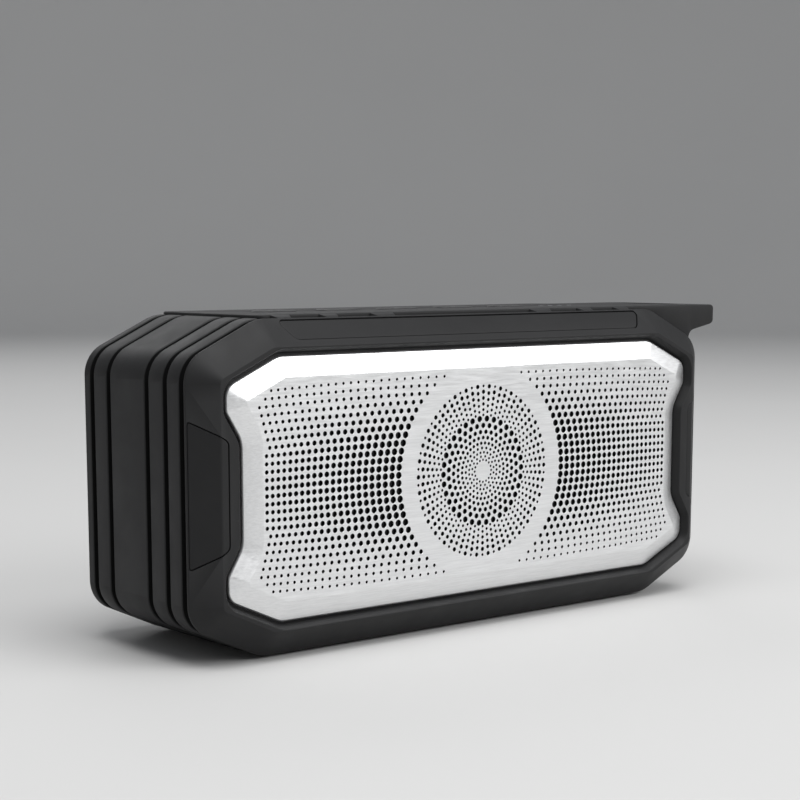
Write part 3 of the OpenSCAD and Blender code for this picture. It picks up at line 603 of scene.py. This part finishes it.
LONG_PAD = [(-70.3, 1.9, 3), (70.3, 1.9, 3), (74.4, 7.15, 1), (-74.4, 7.15, 1)]
END_PAD = [(-2.4, -15.1, 2.2), (7.4, -20.8, 0.3), (7.4, 20.8, 0.3), (-2.4, 15.1, 2.2)]
PAD_GAP = 0.22
PAD_SUNK = 0.16
PAD_LOW = -2.0
PAD_REACH = 7.46
BEND_STATIONS = [BEND * i / 4 for i in range(-4, 5)]

shell = Shell()
outer = swept(
    shell,
    BODY,
    softened([(SLOPE + 0.2, 0), (SLOPE, 0, 0.3), (0, SLOPE_DEPTH, 0.5), (0, BEZEL_D, 0.2), (0.6, BEZEL_D)]),
    12,
)
inner = swept(
    shell,
    EDGE,
    softened([(-1.6, 0), (-1.4, 0, 0.3), (0, 2.7, 0.5), (0.1, SHELF_D), (7.5, SHELF_D), (7.5, BEZEL_D)]),
    12,
)
shell.chain(outer)
shell.chain(inner)
shell.fill([outer[0], inner[0]])
shell.fill([outer[-1], inner[-1]])
bezel = to_object("front_bezel_shell", shell.to_mesh("front_bezel_shell"), "enclosure", ["front_bezel"],
                  "shell_black")

PADS = (
    ("top_pad", LONG_PAD, on_long_slope, 1, 1),
    ("bottom_pad", LONG_PAD, on_long_slope, 1, -1),
    ("right_pad", END_PAD, on_end, 1, 1),
    ("left_pad", END_PAD, on_end, -1, 1),
)
for pad_name, corners, fn, sx, sz in PADS:
    stations = BEND_STATIONS if fn is on_end else []
    rim = [(min(u, PAD_REACH) if fn is on_end else u, v, r) for u, v, r in inset(corners, -PAD_GAP)]
    hole = plate(rim, PAD_LOW - 0.1, 2.0, 0.01)
    cutter = bare("cutter", bent_mesh(hole, "cutter", stations, mirrored(fn, sx, sz)))
    boolean(bezel, cutter)
    solid = plate(corners, PAD_LOW, -PAD_SUNK, 0.25)
    mesh = bent_mesh(solid, pad_name + "_inlay", stations, mirrored(fn, sx, sz))
    to_object(pad_name + "_inlay", mesh, "enclosure", [pad_name], "pad_black")
for f in bezel.data.polygons:
    f.use_smooth = True
bezel.data.set_sharp_from_angle(angle=math.radians(28))

# ---- Grille plate --------------------------------------------------------------------------------

BORDER = 6.0
SHEET = 1.2
DROP = 1.9
SPOKES = 34
FIELD_ROWS = 26
ROW_PITCH = 2.4
# Radius of the blank disc between the rosette and the side fields
BLANK_R = 34
HOLE_MOUTH = 0.07


def perforations():
    """(x, z, radius) of every hole: the rosette and the two side fields."""
    out = []

    def ring(r, hole, count, shift):
        for i in range(count):
            a = 2 * math.pi * (i + shift) / count
            out.append((r * math.cos(a), r * math.sin(a), hole))

    for k in range(9):
        count = 16 if k < 2 else 25 if k < 4 else SPOKES
        ring(3.45 + 1.02 * k + 0.073 * k * k, 0.38 + 0.009 * k * k, count, (k % 2) / 2)
    for j in range(5):
        r = 17.4 + 1.62 * j + 0.045 * j * j
        hole = 0.44 + 0.045 * j + 0.004 * j * j
        ring(r, hole, SPOKES, 0.5)
        ring(r + 1 + 0.17 * j, hole + 0.01, SPOKES, 0)
    ring(26.4, 0.45, SPOKES, 0.5)
    for k in range(FIELD_ROWS):
        z = (k - (FIELD_ROWS - 1) / 2) * ROW_PITCH
        h = abs(z)
        start = math.sqrt(BLANK_R * BLANK_R - z * z)
        end = 82.2 if h < 13 else 81 + 0.28 * (h - 13) if h < 25 else 84.6 - 0.85 * (h - 25)
        near = 1.06 - 0.62 * (max(h - 13, 0) / 17) ** 1.1
        far = 0.68 - 0.24 * h / 30
        count = round((end - start) / (2.25 + 0.5 * h / 30)) + 1
        for i in range(count):
            t = i / (count - 1)
            x = start + (end - start) * t * (1.15 - 0.15 * t)
            for side in (-1, 1):
                out.append((side * x, z * (1 - 0.045 * t * t), near + (far - near) * t))
    return out


shell = Shell()
border = softened(
    [(BORDER + 0.3, 0), (BORDER, 0, 1.4), (0.35, DROP - 0.1, 0.5), (0, DROP + 0.3, 0.2), (0, DROP + SHEET),
     (1.0, DROP + SHEET), (1.0, DROP + 0.75, 0.4), (BORDER, SHEET, 1.0), (BORDER + 0.3, SHEET)]
)
rings = swept(shell, GRILLE, border, 12)
shell.chain(rings)
front_loops = [rings[0]]
back_loops = [rings[-1]]
for x, z, r in perforations():
    n = 16 if r > 0.7 else 12
    mouth = front_circle(shell, x, z, r + 0.04, 0, n)
    throat = front_circle(shell, x, z, r, HOLE_MOUTH, n)
    back = front_circle(shell, x, z, r, SHEET, n)
    shell.chain([mouth, throat, back])
    front_loops.append(mouth)
    back_loops.append(back)
shell.fill(front_loops)
shell.fill(back_loops)
grille = to_object("grille_plate", shell.to_mesh("grille_plate", sharp=24), "enclosure", ["grille_panel"],
                   "brushed_aluminium")
# The walls of the holes and the back of the sheet get a near-black material: painted shade, so that the
# holes read dark
grille.data.materials.append(M["hole_painted_shade"])
for f in grille.data.polygons:
    depth = f.center.y / MM - FRONT_Y
    hole_wall = abs(f.normal.y) < 0.2 and HOLE_MOUTH < depth < SHEET
    if hole_wall or f.normal.y > 0.9:
        f.material_index = 1

# ---- Main housing --------------------------------------------------------------------------------

GROOVE = 2.2
WALL = 4.6
CORE_FRONT = 7.6
CORE_BACK = 57.4
RIBS = [(9.7, 15.6), (18.05, 25.25), (27.7, 46.2), (48.65, 55.55)]
RIB_EDGE = 0.45

profile = [(WALL, CORE_FRONT), (GROOVE, CORE_FRONT, 0.1)]
for a, b in RIBS:
    profile += [(GROOVE, a, 0.25), (0, a, RIB_EDGE), (0, b, RIB_EDGE), (GROOVE, b, 0.25)]
profile += [(GROOVE, CORE_BACK, 0.1), (WALL, CORE_BACK)]
shell = Shell()
shell.chain(swept(shell, BODY, softened(profile), 16), closed=True)
housing = to_object("main_housing_shell", shell.to_mesh("main_housing_shell"), "enclosure", ["main_housing"],
                    "shell_black")

# ---- Rear cover ----------------------------------------------------------------------------------

REAR_START = 58.0
REAR_BEVEL_START = 60.8
REAR_SLOPE = 7.0
BODY_D = BACK_Y - FRONT_Y
REAR_WALL = 3.5
pin_low, pin_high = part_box("door_pin")
door_low, door_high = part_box("port_door")
PIN_Z = (pin_low.z + pin_high.z) / 2 / MM
PIN_Y = (pin_low.y + pin_high.y) / 2 / MM
DOOR_HALF = (door_high.x - door_low.x) / 2 / MM
DOOR_TOP = door_high.z / MM
DOOR_T = 2.0
BAY_HALF = 29.0
BAY_FLOOR_Y = 27.5
BAY_Z0 = PIN_Z + 2.4
BAY_Z1 = PIN_Z + 17.4
PORT_Z = (BAY_Z0 + BAY_Z1) / 2
# Openings of the USB, card and audio sockets
USB_X = -18
CARD_HALF = 6.6
AUDIO_X = 17
# Face that the closed door lies on
SEAT_Y = BACK_Y - DOOR_T - 0.35
SCREWS = [(86, 28), (-86, 28), (86, -28), (-86, -28), (0, 36), (0, -36)]


def flat_ring(shell, corners, y, n=4):
    """Ring of an outline whose corners are (x, z from the resting plane, radius), at a place along y."""
    return shell.ring([(x, y, z) for x, z in rounded(corners, n)])


shell = Shell()
outer = swept(
    shell,
    BODY,
    softened([(WALL, REAR_START), (0, REAR_START, 0.35), (0, REAR_BEVEL_START, 0.9),
              (REAR_SLOPE, BODY_D, 0.9), (REAR_SLOPE + 1.2, BODY_D)]),
    16,
)
inner = swept(
    shell,
    BODY,
    [(WALL, REAR_START), (WALL, REAR_BEVEL_START - 1), (REAR_SLOPE + 2, BODY_D - REAR_WALL)],
    16,
)
shell.chain(outer)
shell.chain(inner)
recess = rectangle(-DOOR_HALF - 0.4, DOOR_HALF + 0.4, PIN_Z - 2.4, DOOR_TOP + 0.5, 1.2)
recess_rings = [
    flat_ring(shell, inset(recess, -0.35), BACK_Y),
    flat_ring(shell, inset(recess, -0.1), BACK_Y - 0.1),
    flat_ring(shell, recess, BACK_Y - 0.4),
    flat_ring(shell, recess, SEAT_Y),
]
shell.chain(recess_rings)
trough = rectangle(-DOOR_HALF - 0.2, DOOR_HALF + 0.2, PIN_Z - 2.2, PIN_Z + 1.9, 0.3)
trough_rings = [flat_ring(shell, trough, SEAT_Y), flat_ring(shell, trough, PIN_Y - 1.9)]
shell.chain(trough_rings)
shell.fill([trough_rings[-1]])
bay = rectangle(-BAY_HALF, BAY_HALF, BAY_Z0, BAY_Z1, 1.5)
bay_rings = [flat_ring(shell, bay, SEAT_Y), flat_ring(shell, bay, BAY_FLOOR_Y)]
shell.chain(bay_rings)
shell.fill([recess_rings[-1], trough_rings[0], bay_rings[0]])
holes = [
    stadium(USB_X, PORT_Z, 9.4, 3.7),
    rectangle(-CARD_HALF, CARD_HALF, PORT_Z - 1.3, PORT_Z + 1.3, 0.3),
    stadium(AUDIO_X, PORT_Z, 6.6, 6.58),
]
bay_back = BAY_FLOOR_Y - 1.5
mouths = [flat_ring(shell, inset(h, -0.25), BAY_FLOOR_Y, 8) for h in holes]
throats = [flat_ring(shell, h, BAY_FLOOR_Y - 0.3, 8) for h in holes]
tails = [flat_ring(shell, h, bay_back, 8) for h in holes]
for group in zip(mouths, throats, tails):
    shell.chain(list(group))
shell.fill([bay_rings[-1]] + mouths)
box = rectangle(-DOOR_HALF - 2, DOOR_HALF + 2, PIN_Z - 4.5, BAY_Z1 + 2, 1.0)
box_rings = [flat_ring(shell, box, bay_back), flat_ring(shell, box, BACK_Y - REAR_WALL)]
shell.chain(box_rings)
shell.fill([box_rings[0]] + tails)
faces_loops = [outer[-1], recess_rings[0]]
floor_loops = [inner[-1], box_rings[-1]]
for x, z in SCREWS:
    stack = [front_circle(shell, x, z, r, BODY_D - d)
             for r, d in ((3.4, 0), (3.15, 0.25), (3.1, 1.7), (1.7, 1.7), (1.7, REAR_WALL))]
    shell.chain(stack)
    faces_loops.append(stack[0])
    floor_loops.append(stack[-1])
shell.fill(faces_loops)
shell.fill(floor_loops)
cover = to_object("rear_cover_shell", shell.to_mesh("rear_cover_shell"), "enclosure", ["rear_cover"],
                  "shell_black")

# ---- Top deck and lug ----------------------------------------------------------------------------

SEAT = 1.6
DECK_FRONT = FRONT_Y + RIBS[0][0]
DECK_LEFT = deck_low.x / MM
DECK_BACK = deck_high.y / MM
LUG_BACK = 20.4
DECK_T = DECK_TOP - (TOP_Z - SEAT)
LUG_TIP = 6.5
BUTTONS = ["power_button", "volume_down_button", "play_button", "volume_up_button", "pairing_button"]
BUTTON_X = [(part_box(b)[0].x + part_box(b)[1].x) / 2 / MM for b in BUTTONS]
BUTTON_L = 15.0
BUTTON_W = 8.0
# The deck's openings are wider than the buttons by this much in all, and flare at the top
BUTTON_GAP = 0.7
WIDE_FLARE = 0.3
LIGHT_X = [BUTTON_X[-1] + 16 + 4.5 * i for i in range(4)]
LIGHT_D = 1.9
LIGHT_FLARE = 0.12
SLOT_X = HALF_W + 5.6
SLOT_W = 6
SLOT_Y = (-14.45, 9.55)
# Underside of the deck and lug: (x, thickness)
LUG_UNDER = [(84.0, DECK_T), (95.0, 9.5), (100.0, 13.0), (103.5, 15.6), (104.7, 16.2), (105.05, 14.4),
             (105.3, 11.9), (105.5, 11.0), (106.0, 9.9), (106.9, 9.05), (108.3, 8.5), (LUG_END, LUG_TIP),
             (LUG_END + 1, LUG_TIP)]
TIP_R = 1.7
TOP_EDGE = 0.5


def thickness(x):
    """Thickness of the deck and lug at x."""
    if x <= LUG_UNDER[0][0]:
        return DECK_T
    for (xa, ta), (xb, tb) in zip(LUG_UNDER, LUG_UNDER[1:]):
        if x <= xb:
            return ta + (tb - ta) * (x - xa) / (xb - xa)
    return LUG_UNDER[-1][1]


def on_deck(p):
    """(x, y, s) to x, y, z, with s from 0 at the bottom of the plate to its thickness at the top."""
    drop = (thickness(p.x) - DECK_T) * (1 if p.z < DECK_T * 0.5 else 0)
    near_tip = min(TIP_R, max(0, p.x - LUG_END + TIP_R))
    rounding = TIP_R - math.sqrt(TIP_R ** 2 - near_tip ** 2)
    if p.z < DECK_T * 0.5:
        rounding = -rounding
    return Vector((p.x, p.y, DECK_TOP - DECK_T + p.z - drop - rounding))


deck_outline = [
    (DECK_LEFT, DECK_FRONT, 3),
    (LUG_END, DECK_FRONT, 0.7),
    (LUG_END, LUG_BACK, 8),
    (81, LUG_BACK, 2),
    (-DECK_LEFT, DECK_BACK, 3),
    (DECK_LEFT, DECK_BACK, 3),
]
shell = Shell()
steps = [(0.5, 0), (0.15, 0.15), (0, 0.5)] + round_edge(TOP_EDGE, DECK_T, 3)
rings = level_rings(shell, deck_outline, steps, 6)
shell.chain(rings)
top_loops = [rings[-1]]
bottom_loops = [rings[0]]
openings = [(stadium(x, 0, BUTTON_L + BUTTON_GAP, BUTTON_W + BUTTON_GAP), WIDE_FLARE) for x in BUTTON_X]
openings.append((rectangle(SLOT_X - SLOT_W / 2, SLOT_X + SLOT_W / 2, *SLOT_Y, 2.0), WIDE_FLARE))
openings += [(stadium(x, 0, LIGHT_D, LIGHT_D), LIGHT_FLARE) for x in LIGHT_X]
for corners, flare in openings:
    steps = [(-flare, DECK_T), (-flare * 0.3, DECK_T - flare * 0.3), (0, DECK_T - flare), (0, 0)]
    stack = level_rings(shell, corners, steps, 8)
    shell.chain(stack)
    top_loops.append(stack[0])
    bottom_loops.append(stack[-1])
shell.fill(top_loops, (0, 1))
shell.fill(bottom_loops, (0, 1))
stations = [x for x, _ in LUG_UNDER[:-2]]
stations += [LUG_END - TIP_R * (1 - math.sin(math.radians(a))) for a in (0, 20, 40, 55, 68, 80)]
deck_mesh = bent_mesh(shell, "top_deck_plate", stations, on_deck)
to_object("top_deck_plate", deck_mesh, "enclosure", ["top_deck"], "deck_black")

# Bridge tabs: they slope down from the deck over the seam groove
TAB_LOW = TOP_Z - SEAT + 0.3
TAB_TIP = DECK_FRONT - 2.4
TAB_FALL = 0.75
# Middle and width of each tab on the right, mirrored on the left
TABS = [(32.8, 7.5), (53, 5), (70.2, 5.3)]


def tab_slope(p):
    t = min(1, max(0, (DECK_FRONT - p.y) / (DECK_FRONT - TAB_TIP)))
    fall = TAB_FALL * t if p.z > TOP_Z - 0.5 else 0
    return Vector((p.x, p.y, p.z - fall))


for k, (tab_x, tab_w) in enumerate(TABS + [(-x, w) for x, w in TABS]):
    near = tab_w / 2 - 0.4
    far = tab_w / 2 + 1
    corners = [(tab_x - near, TAB_TIP, 0.2), (tab_x + near, TAB_TIP, 0.2),
               (tab_x + far, DECK_FRONT + 0.3, 0.1), (tab_x - far, DECK_FRONT + 0.3, 0.1)]
    tab = plate(corners, TAB_LOW, DECK_TOP - 0.06, 0.15)
    name = f"bridge_tab_{k + 1}"
    to_object(name, tab.to_mesh(name, tab_slope), "enclosure", [], "shell_black")

# Seat of the deck, the button wells and the seat of the base pad, cut from the housing and the rear cover


def block(corners, z0, z1):
    """Upright prism on a plan outline, to cut with."""
    shell = Shell()
    low = shell.ring([(x, y, z0) for x, y in rounded(corners, 6)])
    high = shell.ring([(x, y, z1) for x, y in rounded(corners, 6)])
    shell.bridge(low, high)
    shell.fill([low], (0, 1))
    shell.fill([high], (0, 1))
    return bare("cutter", shell.to_mesh("cutter"))


pad_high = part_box("base_pad")[1]
PAD_X = pad_high.x / MM
PAD_Y = pad_high.y / MM
PAD_TOP = pad_high.z / MM
PAD_CORNER = 4
# The wells under the buttons are wider than the buttons by this much in all
WELL_GAP = 3
deck_seat = rectangle(DECK_LEFT, -DECK_LEFT, DECK_FRONT - 3, DECK_BACK, 0.2)
boolean(housing, block(deck_seat, TOP_Z - SEAT, TOP_Z + 2))
boolean(cover, block(deck_seat, TOP_Z - SEAT, TOP_Z + 2))
boolean(housing, block(rectangle(-PAD_X, PAD_X, -PAD_Y, PAD_Y, PAD_CORNER), -1, PAD_TOP))
for x in BUTTON_X:
    well = stadium(x, 0, BUTTON_L + WELL_GAP, BUTTON_W + WELL_GAP)
    boolean(housing, block(well, TOP_Z - 8, TOP_Z - SEAT + 1))
# Faces sunk inside the grooves, the seam groove too, get a darker material: painted shade where the grooves
# fall into shade
groove_line = rounded(inset(BODY, 0.5), 6)
for obj in (housing, cover):
    obj.data.materials.append(M["groove_painted_shade"])
    for f in obj.data.polygons:
        f.use_smooth = True
        x, y, z = f.center / MM
        in_groove_shade = inside((x, z - MID_Z), groove_line)
        if in_groove_shade and y < FRONT_Y + REAR_START + 0.3:
            f.material_index = 1
    obj.data.set_sharp_from_angle(angle=math.radians(28))

# ---- Buttons -------------------------------------------------------------------------------------

BUTTON_EDGE = 0.5
DISH = 0.3
ICON_H = 0.22
ICON_REACH = 2.2


def arc_band(x, y, r, width, start, sweep):
    """Outline of an open ring of radius r, with its start and sweep in degrees."""
    angles = [math.radians(start + sweep * i / 24) for i in range(25)]
    outer = [(x + (r + width / 2) * math.cos(a), y + (r + width / 2) * math.sin(a)) for a in angles]
    inner = [(x + (r - width / 2) * math.cos(a), y + (r - width / 2) * math.sin(a)) for a in angles]
    return outer + inner[::-1]


def bar_outline(x, y, dx, dy):
    return rounded(rectangle(x - dx / 2, x + dx / 2, y - dy / 2, y + dy / 2, 0.15), 3)


def icon(kind, x):
    """Outlines of a plain raised sign."""
    if kind == "power_button":
        return [arc_band(x, 0, 1.5, 0.45, 125, 290), bar_outline(x, 1.2, 0.45, 1.7)]
    if kind == "volume_down_button":
        return [bar_outline(x, 0, 3, 0.5)]
    if kind == "play_button":
        return [rounded([(x - 1.1, -1.4, 0.2), (x + 1.5, 0, 0.2), (x - 1.1, 1.4, 0.2)], 3)]
    if kind == "volume_up_button":
        arm = 1.5
        half = 0.25
        cross = [(x + arm, -half), (x + arm, half), (x + half, half), (x + half, arm), (x - half, arm),
                 (x - half, half), (x - arm, half), (x - arm, -half), (x - half, -half), (x - half, -arm),
                 (x + half, -arm), (x + half, -half)]
        return [cross]
    return [arc_band(x - 1.15, 0, 1.25, 0.4, 50, 260), arc_band(x + 1.15, 0, 1.25, 0.4, -130, 260)]


for button_name, x in zip(BUTTONS, BUTTON_X):
    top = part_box(button_name)[1].z / MM
    corners = stadium(x, 0, BUTTON_L, BUTTON_W)
    shell = Shell()
    dish = top - DISH
    steps = [(-0.9, TOP_Z - SEAT - 1.2), (-0.9, TOP_Z - SEAT - 0.2), (0, TOP_Z - SEAT - 0.2)]
    steps += round_edge(BUTTON_EDGE, top, 4)
    steps += [(1.4, top - 0.02), (2.2, top - 0.22), (2.9, dish)]
    rings = level_rings(shell, corners, steps, 10)
    shell.chain(rings)
    shell.fill([rings[0]], (0, 1))
    signs = []
    for outline in icon(button_name, x):
        foot = shell.ring([(a, b, dish) for a, b in outline])
        head = shell.ring([(a, b, dish + ICON_H) for a, b in outline])
        shell.bridge(foot, head)
        shell.fill([head], (0, 1))
        signs.append(foot)
    shell.fill([rings[-1]] + signs, (0, 1))
    name = button_name + "_cap"
    cap = to_object(name, shell.to_mesh(name), button_name, [button_name], "button_black")
    cap.data.materials.append(M["sign_grey"])
    for f in cap.data.polygons:
        if abs(f.center.z / MM - dish - ICON_H) < 0.01 and abs(f.center.y / MM) < ICON_REACH:
            f.material_index = 1

# ---- Port door -----------------------------------------------------------------------------------

shell = Shell()
door = rectangle(-DOOR_HALF, DOOR_HALF, PIN_Z - 0.2, DOOR_TOP, 1.6)
steps = [(0.3, BACK_Y - DOOR_T), (0, BACK_Y - DOOR_T + 0.3), (0, BACK_Y - 0.5), (0.15, BACK_Y - 0.15),
         (0.5, BACK_Y)]
rings = [flat_ring(shell, inset(door, t), y, 6) for t, y in steps]
shell.chain(rings)
scoop = stadium(0, DOOR_TOP - 2.6, 14, 2.6)
scoop_rings = [flat_ring(shell, inset(scoop, t), BACK_Y - d, 8)
               for t, d in ((-0.2, 0), (0.1, 0.2), (0.5, 0.55))]
shell.chain(scoop_rings)
shell.fill([scoop_rings[-1]])
line = rectangle(-DOOR_HALF + 4, DOOR_HALF - 4, PIN_Z + 3.2, PIN_Z + 3.8, 0.28)
line_rings = [flat_ring(shell, inset(line, t), BACK_Y - d) for t, d in ((0, 0), (0.15, 0.3))]
shell.chain(line_rings)
shell.fill([line_rings[-1]])
shell.fill([rings[-1], scoop_rings[0], line_rings[0]])
plug = rectangle(-BAY_HALF + 1, BAY_HALF - 1, BAY_Z0 + 0.6, BAY_Z1 - 1.2, 1.2)
plug_rings = [flat_ring(shell, inset(plug, t), BACK_Y - d)
              for t, d in ((0, DOOR_T), (0, DOOR_T + 1.7), (0.3, DOOR_T + 2), (1.1, DOOR_T + 2),
                           (1.4, DOOR_T + 1.7), (1.4, DOOR_T))]
shell.chain(plug_rings)
shell.fill([rings[0], plug_rings[0]])
shell.fill([plug_rings[-1]])
to_object("port_door_flap", shell.to_mesh("port_door_flap"), "port_door", ["port_door"], "rubber_black")

# Hinge barrel
KNUCKLES = 5
shell = Shell()
knuckle = DOOR_HALF * 2 / KNUCKLES
for k in range(KNUCKLES):
    x0 = -DOOR_HALF + knuckle * k + 0.12
    x1 = x0 + knuckle - 0.24
    rings = []
    for x, r in ((x0, 0.78), (x0, 1.3), (x0 + 0.3, 1.6), (x1 - 0.3, 1.6), (x1, 1.3), (x1, 0.78)):
        rings.append(shell.ring([(x, PIN_Y + py, PIN_Z + pz) for py, pz in circle(0, 0, r, 28)]))
    shell.chain(rings, closed=True)
to_object("port_door_barrel", shell.to_mesh("port_door_barrel"), "port_door", [], "rubber_black")

# ---- Base pad ------------------------------------------------------------------------------------

TREADS = 24
TREAD_MARGIN = 4.2
corners = rectangle(-PAD_X, PAD_X, -PAD_Y, PAD_Y, PAD_CORNER)
shell = Shell()
steps = [(0, PAD_TOP), (0, 0.35), (0.12, 0.1), (0.4, 0), (2.2, 0), (2.4, 0.25), (2.8, 0.3)]
rings = level_rings(shell, corners, steps, 8)
shell.chain(rings)
shell.fill([rings[0]], (0, 1))
strips = []
for k in range(TREADS):
    x = (k - (TREADS - 1) / 2) * (2 * PAD_X - 9) / TREADS
    strip = rectangle(x - 1.9, x + 1.9, TREAD_MARGIN - PAD_Y, PAD_Y - TREAD_MARGIN, 1.2)
    stack = level_rings(shell, strip, [(0, 0.3), (0.1, 0.1), (0.35, 0)], 4)
    shell.chain(stack)
    shell.fill([stack[-1]], (0, 1))
    strips.append(stack[0])
shell.fill([rings[-1]] + strips, (0, 1))
to_object("base_pad_rubber", shell.to_mesh("base_pad_rubber"), "enclosure", ["base_pad"], "rubber_black")

# ---- Floor, lights and camera --------------------------------------------------------------------


def studio(name, colour, rough):
    mat, nodes, links, shader = new_material(name)
    vector = place(nodes, links)
    cloud = noise(nodes, links, vector, 3, 2.0)
    base = mixed(nodes, links, ranged(nodes, links, cloud, 0, 1), tuple(c * 0.985 for c in colour), colour)
    links.new(base, shader.inputs["Base Color"])
    shader.inputs["Roughness"].default_value = rough
    shader.inputs["Specular IOR Level"].default_value = 0.2
    return mat


# Floor that curves up into a low wall all round
FLAT_R = 2.3
CURVE_R = 0.9
WALL_TOP = 1.3
steps = [(0.02, 0), (0.5, 0), (1.4, 0)]
steps += [(FLAT_R + CURVE_R * math.sin(a), CURVE_R * (1 - math.cos(a)))
          for a in [math.pi / 2 * i / 12 for i in range(13)]]
steps.append((FLAT_R + CURVE_R, WALL_TOP))
shell = Shell()
rings = [shell.ring([(x / MM, y / MM, z / MM) for x, y in circle(0, 0, r, 96)]) for r, z in steps]
shell.chain(rings)
shell.fill([rings[0]], (0, 1))
floor = bare("floor", shell.to_mesh("floor", sharp=60))
floor.data.materials.append(studio("floor_pale", (0.58, 0.577, 0.57), 0.7))

world = bpy.data.worlds.new("studio")
bpy.context.scene.world = world
world.use_nodes = True
world.node_tree.nodes["Background"].inputs["Color"].default_value = (0.92, 0.95, 1.0, 1)
world.node_tree.nodes["Background"].inputs["Strength"].default_value = 0.3


def softbox(name, azimuth, elevation, distance, width, height, power):
    """Area light that looks at the speaker. Azimuth 0 is in front, and 90 on the +X side."""
    data = bpy.data.lights.new(name, "AREA")
    data.shape = "RECTANGLE"
    data.size = width
    data.size_y = height
    data.energy = power
    obj = bare(name, data)
    a = math.radians(azimuth)
    e = math.radians(elevation)
    target = Vector((0, 0, 0.05))
    away = Vector((math.sin(a) * math.cos(e), -math.cos(a) * math.cos(e), math.sin(e)))
    obj.location = target + away * distance
    obj.rotation_euler = (-away).to_track_quat("-Z", "Y").to_euler()


softbox("key", 30, 27, 1.5, 1.6, 0.7, 14)
softbox("top", -20, 76, 1.6, 1.4, 1.1, 23)
softbox("rear", 165, 38, 1.8, 1.2, 0.8, 5)

camera_data = bpy.data.cameras.new("camera")
camera_data.sensor_width = 36
camera_data.lens = 79.9
camera_data.shift_y = 0.155
camera_data.clip_start = 0.01
camera = bare("camera", camera_data)
camera.location = (-0.3699, -0.4410, 0.1143)
camera.rotation_euler = Euler((math.radians(90 - 8.45), 0, -math.radians(39.64)))
bpy.context.scene.camera = camera
bpy.context.scene.view_settings.view_transform = "Standard"
